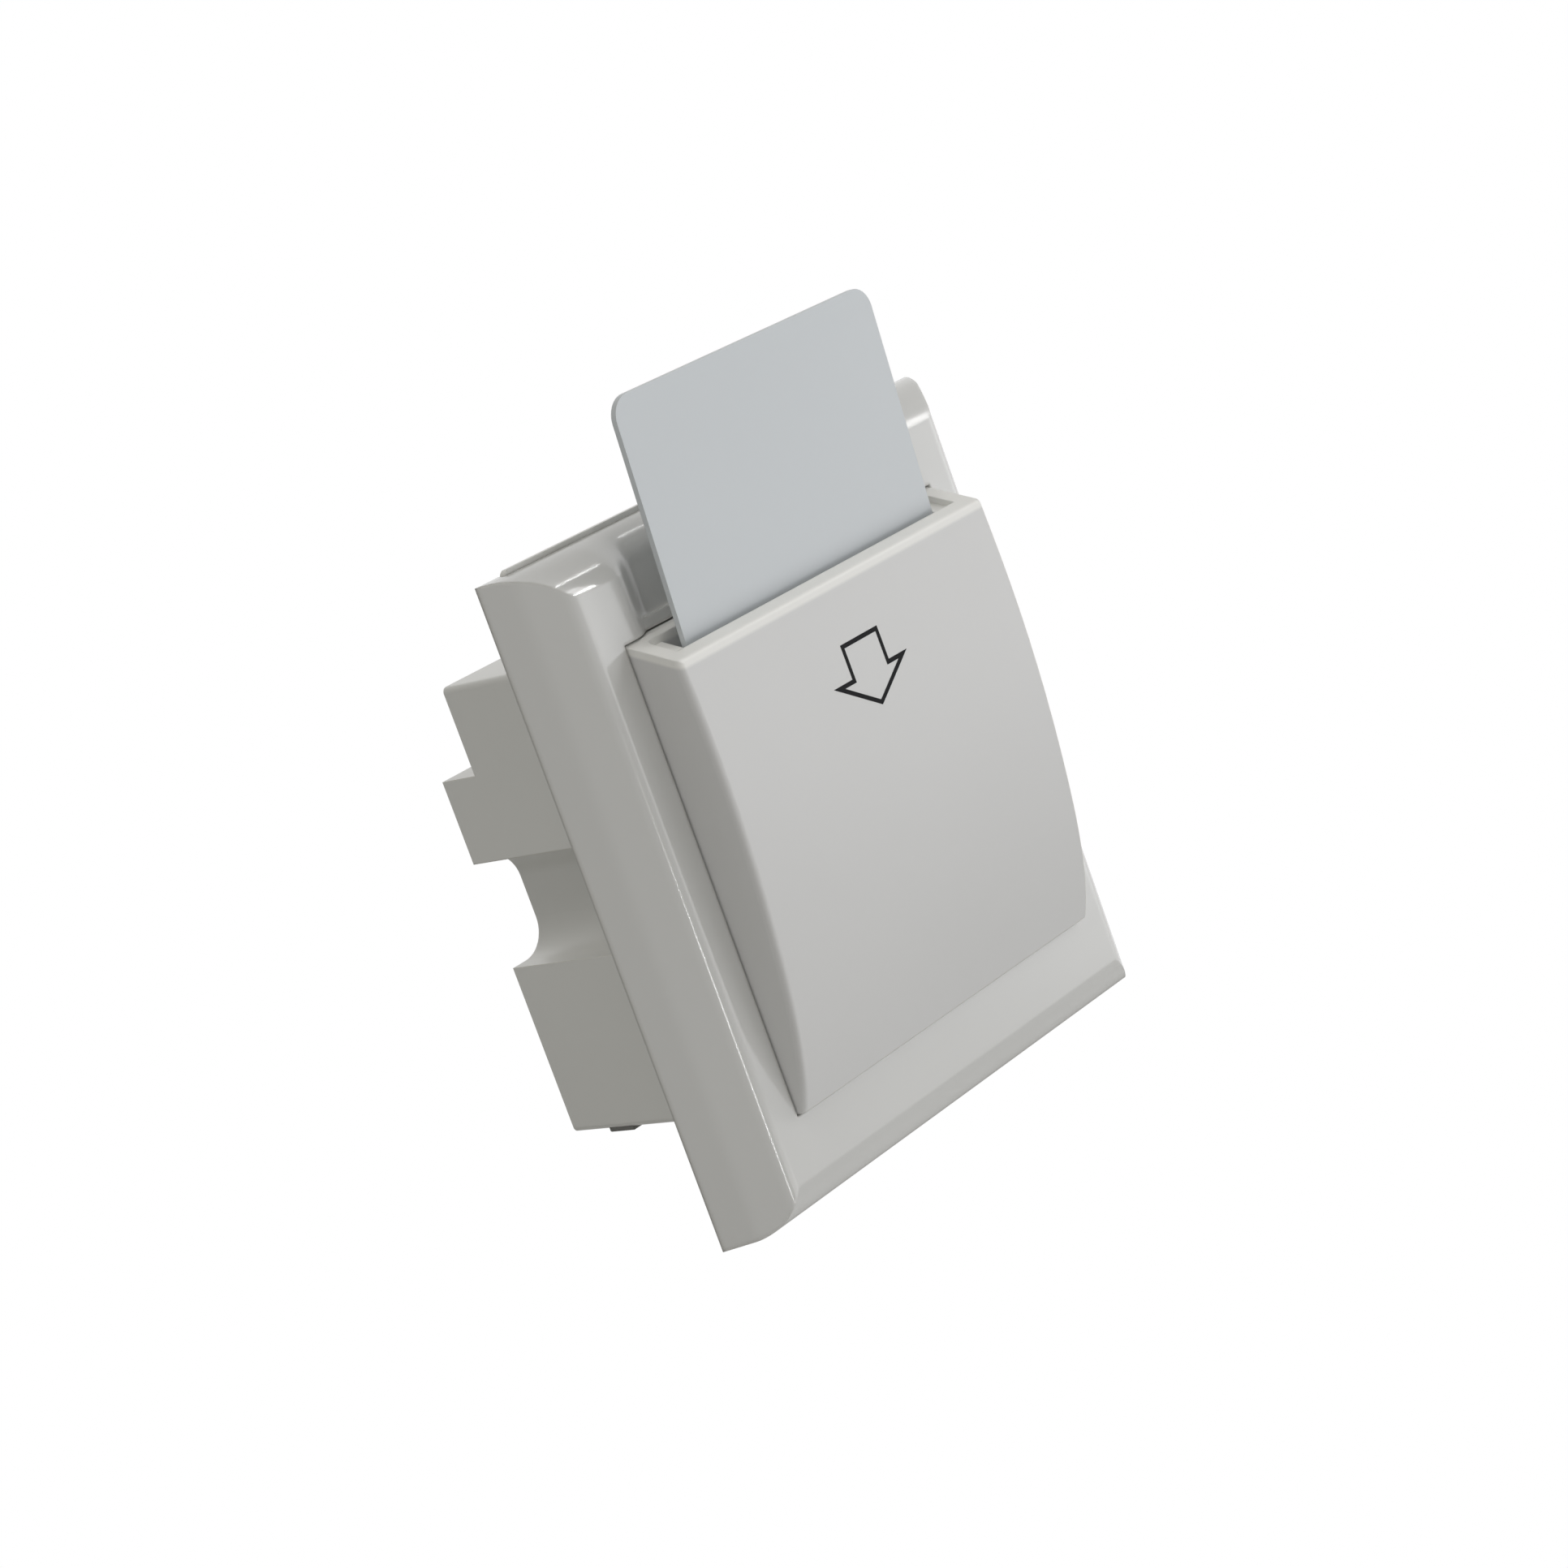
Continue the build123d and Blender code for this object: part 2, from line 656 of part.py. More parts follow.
# Actuator: bar under the card, arm through the plate, post and finger over the switch lever
with BuildPart() as card_actuator:
    with BuildSketch(card_plane.offset(-actuator_thickness / 2)):
        with Locations((0, -touch_gap)):
            Rectangle(2 * actuator_bar_half, actuator_bar_height, align=(Align.CENTER, Align.MAX))
    extrude(amount=actuator_thickness)
    with BuildSketch(Plane.XY.offset(arm_bottom)):
        with Locations((0, actuator_reach)):
            arm_length = actuator_reach + card_foot_depth
            Rectangle(2 * actuator_arm_half, arm_length, align=(Align.CENTER, Align.MAX))
    extrude(amount=actuator_arm_height)
    with BuildSketch(Plane.XY.offset(arm_bottom)):
        with Locations((0, actuator_reach)):
            Rectangle(2 * actuator_arm_half, actuator_post_depth, align=(Align.CENTER, Align.MAX))
    extrude(amount=finger_bottom + actuator_finger_height - arm_bottom)
    with BuildSketch(Plane.XY.offset(finger_bottom)):
        with Locations((actuator_arm_half, actuator_reach)):
            Rectangle(actuator_finger, actuator_post_depth, align=(Align.MIN, Align.MAX))
    extrude(amount=actuator_finger_height)
finish(card_actuator, "card_actuator")


# Return spring under the actuator arm
with BuildPart() as return_spring:
    spring_length = arm_bottom - shelf_top - spring_wire
    with BuildLine(Plane(origin=(0, spring_y, shelf_top + spring_wire / 2))) as spring_path:
        Helix(pitch=spring_length / spring_turns, height=spring_length, radius=spring_radius)
    with BuildSketch(Plane(origin=spring_path.line @ 0, z_dir=spring_path.line % 0)):
        Circle(spring_wire / 2 - touch_gap / 2)
    sweep(is_frenet=True)
finish(return_spring, "return_spring")


def housing_outline(inset):
    """Outline of the rear housing with a notch on each side, drawn in by inset."""
    RectangleRounded(2 * (housing_half_width - inset), 2 * (housing_half_height - inset), housing_corner)
    notch_middle = housing_half_width - inset
    with Locations((-notch_middle, 0), (notch_middle, 0)):
        RectangleRounded(
            2 * notch_reach,
            2 * (notch_half_height + inset),
            notch_radius,
            mode=Mode.SUBTRACT,
        )


# Rear housing: stepped box that drops into the wall box
with BuildPart() as rear_housing:
    with BuildSketch(wall_plane(housing_depth)):
        housing_outline(0)
    extrude(amount=housing_depth)
    with BuildSketch(wall_plane(housing_depth)):
        with Locations((0, housing_step_height)):
            Rectangle(2 * housing_half_width, housing_half_height, align=(Align.CENTER, Align.MIN))
    extrude(amount=housing_depth - housing_step_depth, mode=Mode.SUBTRACT)
    with BuildSketch(wall_plane(step_inside)):
        housing_outline(housing_wall)
    extrude(amount=step_inside, mode=Mode.SUBTRACT)
    with BuildSketch(wall_plane(housing_inside)):
        housing_outline(housing_wall)
        with Locations((0, housing_step_height - housing_wall)):
            Rectangle(
                2 * housing_half_width,
                housing_half_height,
                align=(Align.CENTER, Align.MIN),
                mode=Mode.SUBTRACT,
            )
    extrude(amount=housing_inside, mode=Mode.SUBTRACT)
    # corner bosses for the housing screws
    with BuildSketch(wall_plane(step_inside + boss_root)):
        with GridLocations(2 * boss_x, 2 * boss_z, 2, 2):
            Circle(boss_radius)
    extrude(amount=step_inside + boss_root)
    with BuildSketch(wall_plane(boss_pilot_depth)):
        with GridLocations(2 * boss_x, 2 * boss_z, 2, 2):
            Circle(boss_pilot)
    extrude(amount=boss_pilot_depth, mode=Mode.SUBTRACT)
    # posts that the circuit board rests on
    with BuildSketch(wall_plane(step_inside + boss_root)):
        with GridLocations(2 * post_x, 2 * post_z, 2, 2):
            Circle(post_radius)
    extrude(amount=step_inside + boss_root - board_rear)
    with BuildSketch(wall_plane(housing_inside + boss_root)):
        with GridLocations(2 * post_x, 2 * post_z, 2, 2):
            Circle(post_radius)
        with Locations((0, housing_step_height - housing_wall)):
            Rectangle(
                2 * housing_half_width,
                housing_half_height,
                align=(Align.CENTER, Align.MIN),
                mode=Mode.SUBTRACT,
            )
    extrude(amount=housing_inside + boss_root - board_rear)
    with BuildSketch(wall_plane(board_rear + board_screw_length)):
        with GridLocations(2 * post_x, 2 * post_z, 2, 2):
            Circle(board_screw_pilot)
    extrude(amount=board_screw_length, mode=Mode.SUBTRACT)
    # window for the wire terminals and holes to reach their screws
    with BuildSketch(wall_plane(housing_depth)):
        with Locations((0, terminal_z)):
            Rectangle(terminal_length + 2 * terminal_clearance, terminal_height + 2 * terminal_clearance)
    extrude(amount=2 * housing_wall, mode=Mode.SUBTRACT)
    with BuildSketch(Plane.XY.offset(-housing_half_height)):
        with Locations((0, terminal_screw_y)):
            with GridLocations(terminal_pitch, 1, terminal_count, 1):
                Circle(terminal_screw_radius + terminal_clearance)
    extrude(amount=housing_wall, mode=Mode.SUBTRACT)
    # locating lug under the box
    with BuildSketch(Plane.XY.offset(-housing_half_height)):
        with Locations((0, lug_y)):
            Rectangle(lug_width, lug_width)
    extrude(amount=-lug_height)
finish(rear_housing, "rear_housing")


# Countersunk screws that hold the housing to the mounting plate
with BuildPart() as housing_screws:
    for place_x, place_z in ((-boss_x, -boss_z), (boss_x, -boss_z), (-boss_x, boss_z), (boss_x, boss_z)):
        seat = Plane(origin=(place_x, -base_thickness, place_z), x_dir=(1, 0, 0), z_dir=(0, 0, 1))
        with BuildSketch(seat):
            with BuildLine():
                screw_rim = housing_screw_head - touch_gap
                Polyline(
                    (0, 0),
                    (screw_rim, 0),
                    (screw_shank, screw_rim - screw_shank),
                    (screw_shank, housing_screw_length),
                    (0, housing_screw_length + screw_shank),
                    close=True,
                )
            make_face()
        revolve(axis=Axis((place_x, 0, place_z), (0, 1, 0)))
    with BuildSketch(wall_plane(-base_thickness)):
        with GridLocations(2 * boss_x, 2 * boss_z, 2, 2):
            Rectangle(screw_recess_length, screw_recess_width)
            Rectangle(screw_recess_width, screw_recess_length)
    extrude(amount=-screw_recess_depth, mode=Mode.SUBTRACT)
finish(housing_screws, "housing_screws")


# Screws that hold the card guide, from behind the mounting plate
with BuildPart() as guide_screws:
    for place_x in (-guide_screw_x, guide_screw_x):
        with BuildSketch(wall_plane(0)):
            with Locations((place_x, guide_screw_z)):
                Circle(guide_screw_head)
        extrude(amount=-guide_screw_head_height)
        with BuildSketch(wall_plane(0)):
            with Locations((place_x, guide_screw_z)):
                Circle(screw_shank)
        extrude(amount=base_thickness + guide_screw_length)
    with BuildSketch(wall_plane(guide_screw_head_height)):
        with Locations((-guide_screw_x, guide_screw_z), (guide_screw_x, guide_screw_z)):
            Rectangle(screw_recess_length, screw_recess_width)
            Rectangle(screw_recess_width, screw_recess_length)
    extrude(amount=screw_recess_depth, mode=Mode.SUBTRACT)
    fillet(guide_screws.edges().filter_by(GeomType.CIRCLE).group_by(Axis.Y)[-1], screw_recess_width)
finish(guide_screws, "guide_screws")


# Circuit board, cut out around the screw bosses and the side notches
with BuildPart() as circuit_board:
    board_half_width = housing_half_width - housing_wall - board_clearance
    board_half_height = housing_half_height - housing_wall - board_clearance
    with BuildSketch(wall_plane(board_rear)) as board_outline:
        Rectangle(2 * board_half_width, 2 * board_half_height)
        with GridLocations(2 * board_half_width, 2 * board_half_height, 2, 2):
            boss_room_x = board_half_width - boss_x + boss_radius + board_clearance
            boss_room_z = board_half_height - boss_z + boss_radius + board_clearance
            Rectangle(2 * boss_room_x, 2 * boss_room_z, mode=Mode.SUBTRACT)
        with Locations((-board_half_width, 0), (board_half_width, 0)):
            notch_room = notch_reach + housing_wall + board_clearance - housing_half_width + board_half_width
            Rectangle(
                2 * notch_room,
                2 * (notch_half_height + housing_wall + board_clearance),
                mode=Mode.SUBTRACT,
            )
        with GridLocations(2 * post_x, 2 * post_z, 2, 2):
            Circle(board_screw_radius, mode=Mode.SUBTRACT)
        with Locations((switch_mid_x, switch_top - switch_leg_drop)):
            with GridLocations(switch_leg_pitch, 1, switch_leg_count, 1):
                Circle(switch_leg_hole, mode=Mode.SUBTRACT)
    extrude(amount=board_thickness)
finish(circuit_board, "circuit_board")


# Screws that hold the circuit board
with BuildPart() as board_screws:
    with BuildSketch(wall_plane(board_front)):
        with GridLocations(2 * post_x, 2 * post_z, 2, 2):
            Circle(board_screw_head)
    extrude(amount=board_screw_head_height)
    fillet(board_screws.edges().filter_by(GeomType.CIRCLE).group_by(Axis.Y)[0], screw_recess_width)
    with BuildSketch(wall_plane(board_front)):
        with GridLocations(2 * post_x, 2 * post_z, 2, 2):
            Circle(board_screw_pilot - touch_gap)
    extrude(amount=-board_thickness - board_screw_length + board_clearance)
    with BuildSketch(wall_plane(board_front - board_screw_head_height)):
        with GridLocations(2 * post_x, 2 * post_z, 2, 2):
            Rectangle(screw_recess_length, screw_recess_width)
            Rectangle(screw_recess_width, screw_recess_length)
    extrude(amount=-screw_recess_depth, mode=Mode.SUBTRACT)
finish(board_screws, "board_screws")


# Relay with its base ledge
with BuildPart() as relay:
    with BuildSketch(wall_plane(board_rear)):
        with Locations((relay_box[0], relay_box[1])):
            Rectangle(relay_box[2], relay_box[3])
    extrude(amount=-2 * relay_rib)
    with BuildSketch(wall_plane(board_rear)):
        with Locations((relay_box[0], relay_box[1])):
            Rectangle(relay_box[2] - relay_rib, relay_box[3] - relay_rib)
    extrude(amount=-relay_box[4])
    fillet(relay.faces().sort_by(Axis.Y)[-1].edges(), relay_rib)
finish(relay, "relay")


# Film capacitor with rounded long edges
with BuildPart() as film_capacitor:
    with BuildSketch(wall_plane(board_rear)):
        with Locations((film_box[0], film_box[1])):
            RectangleRounded(film_box[2], film_box[3], 2 * relay_rib)
    extrude(amount=-film_box[4])
    fillet(film_capacitor.faces().sort_by(Axis.Y)[-1].edges(), relay_rib)
finish(film_capacitor, "film_capacitor")


# Electrolytic capacitors, grooved near the board
with BuildPart() as electrolytic_capacitors:
    for can_x in capacitor_x:
        with BuildSketch(Plane.XY.offset(capacitor_z)):
            with BuildLine():
                can_side = can_x + capacitor_radius
                can_waist = board_rear + 3 * capacitor_groove
                can_end = board_rear + capacitor_length
                rim_inset = capacitor_groove * (1 - math.sqrt(0.5))
                Polyline((can_x, board_rear), (can_side, board_rear), (can_side, can_waist))
                ThreePointArc(
                    (can_side, can_waist),
                    (can_side - capacitor_groove, can_waist + capacitor_groove),
                    (can_side, can_waist + 2 * capacitor_groove),
                )
                Line((can_side, can_waist + 2 * capacitor_groove), (can_side, can_end - capacitor_groove))
                ThreePointArc(
                    (can_side, can_end - capacitor_groove),
                    (can_side - rim_inset, can_end - rim_inset),
                    (can_side - capacitor_groove, can_end),
                )
                Polyline((can_side - capacitor_groove, can_end), (can_x, can_end), (can_x, board_rear))
            make_face()
        revolve(axis=Axis((can_x, 0, capacitor_z), (0, 1, 0)))
finish(electrolytic_capacitors, "electrolytic_capacitors")


# Varistor: a coated disc on two legs
with BuildPart() as varistor:
    varistor_y = board_rear + varistor_radius + lead_rise
    with BuildSketch(Plane.XY.offset(varistor_z - varistor_thickness / 2)):
        with Locations((varistor_x, varistor_y)):
            Circle(varistor_radius)
    extrude(amount=varistor_thickness)
    fillet(varistor.edges().filter_by(GeomType.CIRCLE), varistor_thickness / 3)
    with BuildSketch(wall_plane(board_rear)):
        with Locations((varistor_x, varistor_z)):
            with GridLocations(varistor_radius, 1, 2, 1):
                Circle(lead_radius)
    extrude(amount=-lead_rise - varistor_radius / 2)
finish(varistor, "varistor")


# Glass fuse
with BuildPart() as fuse:
    fuse_y = board_rear + lead_rise + fuse_radius
    with BuildSketch(Plane.YZ.offset(fuse_x - fuse_length / 2 + fuse_cap)):
        with Locations((fuse_y, fuse_z)):
            Circle(fuse_radius - lead_radius)
    extrude(amount=fuse_length - 2 * fuse_cap)
finish(fuse, "fuse")


# End caps and clips of the fuse
with BuildPart() as fuse_clips:
    for cap_x in (fuse_x - fuse_length / 2, fuse_x + fuse_length / 2 - fuse_cap):
        with BuildSketch(Plane.YZ.offset(cap_x)):
            with Locations((fuse_y, fuse_z)):
                Circle(fuse_radius)
        extrude(amount=fuse_cap)
        with BuildSketch(wall_plane(board_rear)):
            with Locations((cap_x + fuse_cap / 2, fuse_z)):
                Rectangle(fuse_cap - 2 * lead_radius, fuse_radius)
        extrude(amount=-lead_rise - fuse_radius / 2)
finish(fuse_clips, "fuse_clips")


# Bridge rectifier with its chamfered corner
with BuildPart() as bridge_rectifier:
    with BuildSketch(wall_plane(board_rear)) as rectifier_outline:
        with Locations((rectifier_box[0], rectifier_box[1])):
            Rectangle(rectifier_box[2], rectifier_box[3])
    extrude(amount=-rectifier_box[4])
    chamfer(bridge_rectifier.faces().sort_by(Axis.Y)[-1].edges().sort_by(Axis.X)[0], 2 * relay_rib)
finish(bridge_rectifier, "bridge_rectifier")


# Resistors, lying on the board with bent leads
with BuildPart() as resistors:
    resistor_y = board_rear + resistor_radius + lead_radius
    lead_reach = resistor_length / 2 + lead_overhang
    for body_x in resistor_x:
        for body_z in resistor_z:
            with BuildLine(Plane.XY.offset(body_z)) as lead:
                FilletPolyline(
                    (body_x - lead_reach, board_rear),
                    (body_x - lead_reach, resistor_y),
                    (body_x + lead_reach, resistor_y),
                    (body_x + lead_reach, board_rear),
                    radius=2 * lead_radius,
                )
            with BuildSketch(Plane(origin=lead.line @ 0, z_dir=lead.line % 0)):
                Circle(lead_radius)
            sweep()
            with BuildSketch(Plane.YZ.offset(body_x - resistor_length / 2)):
                with Locations((resistor_y, body_z)):
                    Circle(resistor_radius)
            extrude(amount=resistor_length)
finish(resistors, "resistors")


# Terminal block with four poles
with BuildPart() as terminal_block:
    with BuildSketch(wall_plane(board_rear)):
        with Locations((0, terminal_z)):
            Rectangle(terminal_length, terminal_height)
    extrude(amount=board_rear - terminal_rear)
    chamfer(terminal_block.faces().sort_by(Axis.Y)[-1].edges(), terminal_clearance)
    # cages for the clamps, open towards the board
    with BuildSketch(wall_plane(board_rear)):
        with Locations((0, (clamp_top + clamp_bottom) / 2)):
            with GridLocations(terminal_pitch, 1, terminal_count, 1):
                Rectangle(clamp_width + 2 * clamp_fit, clamp_height + 2 * clamp_fit)
    extrude(amount=board_rear - terminal_screw_y - clamp_depth / 2, mode=Mode.SUBTRACT)
    # wire entries
    with BuildSketch(wall_plane(terminal_rear)):
        with Locations((0, terminal_entry_z)):
            with GridLocations(terminal_pitch, 1, terminal_count, 1):
                Rectangle(terminal_entry, terminal_entry)
    extrude(amount=terminal_rear - terminal_screw_y, mode=Mode.SUBTRACT)
    # screw shafts
    with BuildSketch(Plane.XY.offset(terminal_bottom)):
        with Locations((0, terminal_screw_y)):
            with GridLocations(terminal_pitch, 1, terminal_count, 1):
                Circle(terminal_screw_radius + terminal_clearance)
    extrude(amount=clamp_bottom - terminal_bottom, mode=Mode.SUBTRACT)
finish(terminal_block, "terminal_block")


# Clamps of the wire terminals, each with a tail to the board
with BuildPart() as terminal_clamps:
    clamp_middle = (clamp_top + clamp_bottom) / 2
    with BuildSketch(wall_plane(terminal_screw_y + clamp_depth / 2)):
        with Locations((0, clamp_middle)):
            with GridLocations(terminal_pitch, 1, terminal_count, 1):
                Rectangle(clamp_width, clamp_height)
        with Locations((0, clamp_middle + (clamp_sole - clamp_wall) / 2)):
            with GridLocations(terminal_pitch, 1, terminal_count, 1):
                Rectangle(
                    clamp_width - 2 * clamp_wall,
                    clamp_height - clamp_wall - clamp_sole,
                    mode=Mode.SUBTRACT,
                )
    extrude(amount=clamp_depth)
    with BuildSketch(wall_plane(board_rear)):
        with Locations((0, clamp_bottom + clamp_sole / 2)):
            with GridLocations(terminal_pitch, 1, terminal_count, 1):
                Rectangle(clamp_width - 2 * clamp_wall, clamp_tail)
    extrude(amount=board_rear - terminal_screw_y + clamp_depth / 2)
    with BuildSketch(Plane.XY.offset(clamp_bottom)):
        with Locations((0, terminal_screw_y)):
            with GridLocations(terminal_pitch, 1, terminal_count, 1):
                Circle(terminal_thread)
    extrude(amount=clamp_sole, mode=Mode.SUBTRACT)
finish(terminal_clamps, "terminal_clamps")


# Screws of the wire terminals
with BuildPart() as terminal_screws:
    head_bottom = terminal_bottom + clamp_fit
    with BuildSketch(Plane.XY.offset(head_bottom)):
        with Locations((0, terminal_screw_y)):
            with GridLocations(terminal_pitch, 1, terminal_count, 1):
                Circle(terminal_screw_radius)
    extrude(amount=terminal_screw_head)
    with BuildSketch(Plane.XY.offset(head_bottom)):
        with Locations((0, terminal_screw_y)):
            with GridLocations(terminal_pitch, 1, terminal_count, 1):
                Circle(terminal_thread - touch_gap)
    extrude(amount=clamp_bottom + clamp_sole + clamp_fit - head_bottom)
    with BuildSketch(Plane.XY.offset(head_bottom)):
        with Locations((0, terminal_screw_y)):
            with GridLocations(terminal_pitch, 1, terminal_count, 1):
                Rectangle(2 * terminal_screw_radius, screw_recess_width)
    extrude(amount=screw_recess_depth, mode=Mode.SUBTRACT)
finish(terminal_screws, "terminal_screws")


# Snap-action switch body with the two ears and the pin of its lever
with BuildPart() as switch_body:
    with BuildSketch(wall_plane(board_front)) as switch_outline:
        with Locations((switch_mid_x, switch_top - switch_height / 2)):
            Rectangle(switch_length, switch_height)
        fillet(switch_outline.vertices(), lever_pin)
    extrude(amount=switch_thickness)
    with BuildSketch(wall_plane(board_front)):
        with Locations((hinge_x, switch_top - switch_ear)):
            Rectangle(2 * switch_ear, switch_ear + switch_ear_rise, align=(Align.CENTER, Align.MIN))
    extrude(amount=switch_thickness)
    with BuildSketch(wall_plane(switch_mid_y + lever_width / 2 + clamp_fit)):
        with Locations((hinge_x, switch_top)):
            Rectangle(2 * switch_ear, switch_ear_rise, align=(Align.CENTER, Align.MIN))
    extrude(amount=lever_width + 2 * clamp_fit, mode=Mode.SUBTRACT)
    with BuildSketch(wall_plane(board_front)):
        with Locations((hinge_x, lever_height)):
            Circle(lever_pin)
    extrude(amount=switch_thickness)
    with BuildSketch(Plane.XY.offset(switch_top)):
        with Locations((plunger_x, switch_mid_y)):
            Circle(plunger_radius + plunger_clearance)
    extrude(amount=plunger_top - switch_top - plunger_length - 2 * clamp_fit, mode=Mode.SUBTRACT)
finish(switch_body, "switch_body")


# Lever of the snap-action switch, rolled around its pin
with BuildPart() as switch_lever:
    with BuildSketch(wall_plane(switch_mid_y + lever_width / 2)):
        with Locations((hinge_x, lever_height)):
            Circle(lever_knuckle)
            Rectangle(lever_length, lever_thickness, align=(Align.MAX, Align.CENTER))
            Circle(lever_pin + pin_clearance, mode=Mode.SUBTRACT)
    extrude(amount=lever_width)
finish(switch_lever, "switch_lever")


# Plunger that the lever presses into the snap-action switch
with BuildPart() as switch_plunger:
    with BuildSketch(Plane.XY.offset(plunger_top)):
        with Locations((plunger_x, switch_mid_y)):
            Circle(plunger_radius)
    extrude(amount=-plunger_length)
    fillet(switch_plunger.edges().sort_by(Axis.Z)[-1], plunger_radius / 2)
finish(switch_plunger, "switch_plunger")


# Legs of the snap-action switch, through the board
with BuildPart() as switch_legs:
    with BuildSketch(wall_plane(board_front)):
        with Locations((switch_mid_x, switch_top - switch_leg_drop)):
            with GridLocations(switch_leg_pitch, 1, switch_leg_count, 1):
                Rectangle(switch_leg_width, switch_leg_thickness)
    extrude(amount=-switch_leg_length)
finish(switch_legs, "switch_legs")
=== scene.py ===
"""Looks of a key card switch for a flush wall box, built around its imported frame."""

import logging
import math
from collections.abc import Callable, Iterable
from dataclasses import dataclass, field
from enum import Enum

import bmesh
import bpy
from mathutils import Matrix, Vector


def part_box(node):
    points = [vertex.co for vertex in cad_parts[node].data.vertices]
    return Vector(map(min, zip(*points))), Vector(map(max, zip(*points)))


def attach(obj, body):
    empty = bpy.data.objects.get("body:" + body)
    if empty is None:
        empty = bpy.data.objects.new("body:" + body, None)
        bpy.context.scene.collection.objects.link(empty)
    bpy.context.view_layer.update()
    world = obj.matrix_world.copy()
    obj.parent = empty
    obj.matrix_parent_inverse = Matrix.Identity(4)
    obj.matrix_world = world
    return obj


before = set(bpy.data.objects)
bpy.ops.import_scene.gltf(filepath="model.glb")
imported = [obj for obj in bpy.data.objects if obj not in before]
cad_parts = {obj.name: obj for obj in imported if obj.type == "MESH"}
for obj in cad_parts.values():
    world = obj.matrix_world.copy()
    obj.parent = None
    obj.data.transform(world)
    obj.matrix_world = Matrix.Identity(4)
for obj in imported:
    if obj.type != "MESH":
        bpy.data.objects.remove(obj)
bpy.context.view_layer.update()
NODES: dict[str, bpy.types.Object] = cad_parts
MM = 0.001
# How far a part of a mesh may lie from the plane or line that it is picked by
NEAR = 0.1 * MM
# Steps of the small rounded edges of new pieces
EDGE_STEPS = 3
# Indices of the Mix node's colour sockets, whose names repeat
MIX_SHARE, MIX_FIRST, MIX_SECOND, MIX_RESULT = 0, 6, 7, 2
# Middle of a noise that runs from 0 to 1
NOISE_MIDDLE = 0.5
# Worn edges of a plastic without an edge colour: factor and rise of its own colour
WORN_FACTOR = 1.08
WORN_RISE = 0.01
# Skin of every finish: change of its roughness, and strength and unit height of its bump
SKIN_SPREAD = 0.08
SKIN_STRENGTH = 0.5
SKIN_UNIT = 0.1 * MM

log = logging.getLogger("key_card_switch")

Colour = tuple[float, float, float]
Point = tuple[float, float, float]


class Gloss(Enum):
    """How polished a moulded surface is: roughness, and weight of the clear top layer."""

    POLISHED = (0.16, 0.35)
    GLOSSY = (0.24, 0.2)
    SATIN = (0.38, 0.08)
    MATT = (0.56, 0.0)


class Metal(Enum):
    """Bare metals, each with its colour and roughness."""

    ZINC = ((0.62, 0.63, 0.64), 0.34)
    SPRING_STEEL = ((0.50, 0.49, 0.47), 0.26)
    BRASS = ((0.70, 0.50, 0.22), 0.28)


class MeshPart(Enum):
    """What an edit-mode selection is made of."""

    VERT = "VERT"
    EDGE = "EDGE"


class SocketKind(Enum):
    """Kinds of sockets that the shared effects have."""

    NUMBER = "NodeSocketFloat"
    COLOUR = "NodeSocketColor"
    VECTOR = "NodeSocketVector"


def set_inputs(node: bpy.types.Node, inputs: dict[str, object]) -> None:
    """Set the values of a node's input sockets, by name."""
    for name, value in inputs.items():
        node.inputs[name].default_value = value


@dataclass
class NodeSheet:
    """Adds nodes to one shader tree and joins them."""

    tree: bpy.types.NodeTree

    def add(
        self, kind: str, inputs: dict[str, object] | None = None, **settings: object
    ) -> bpy.types.Node:
        """Add one node.

        Args:
            kind: Blender's name of the node type.
            inputs: Values for its input sockets, by name.
            **settings: Properties of the node itself.

        Returns:
            The new node.
        """
        node = self.tree.nodes.new(kind)
        for name, value in settings.items():
            setattr(node, name, value)
        set_inputs(node, inputs or {})
        return node

    def join(self, source: bpy.types.NodeSocket, target: bpy.types.NodeSocket) -> None:
        """Link an output socket to an input socket."""
        self.tree.links.new(source, target)

    def feed(self, target: bpy.types.NodeSocket, value: object) -> None:
        """Give an input socket a link or a value.

        Args:
            target: The input socket.
            value: An output socket, a colour or a number.
        """
        if isinstance(value, bpy.types.NodeSocket):
            self.join(value, target)
        elif isinstance(value, tuple):
            target.default_value = (*value, 1.0)
        else:
            target.default_value = value

    def math(
        self, operation: str, first: object, second: object = 0.0, clamp: bool = False
    ) -> bpy.types.NodeSocket:
        """Add a Math node.

        Args:
            operation: Blender's name of the operation.
            first: First operand, a socket or a number.
            second: Second operand, a socket or a number.
            clamp: Whether the result is kept between 0 and 1.

        Returns:
            The node's output socket.
        """
        node = self.add("ShaderNodeMath", operation=operation, use_clamp=clamp)
        for target, value in zip(node.inputs, (first, second)):
            self.feed(target, value)
        return node.outputs[0]

    def blend(self, share: object, first: object, second: object) -> bpy.types.NodeSocket:
        """Mix two colours.

        Args:
            share: Share of the second colour, a socket or a number.
            first: First colour, a socket or a colour value.
            second: Second colour, a socket or a colour value.

        Returns:
            The mixed colour's socket.
        """
        node = self.add("ShaderNodeMix", data_type="RGBA")
        self.feed(node.inputs[MIX_SHARE], share)
        self.feed(node.inputs[MIX_FIRST], first)
        self.feed(node.inputs[MIX_SECOND], second)
        return node.outputs[MIX_RESULT]


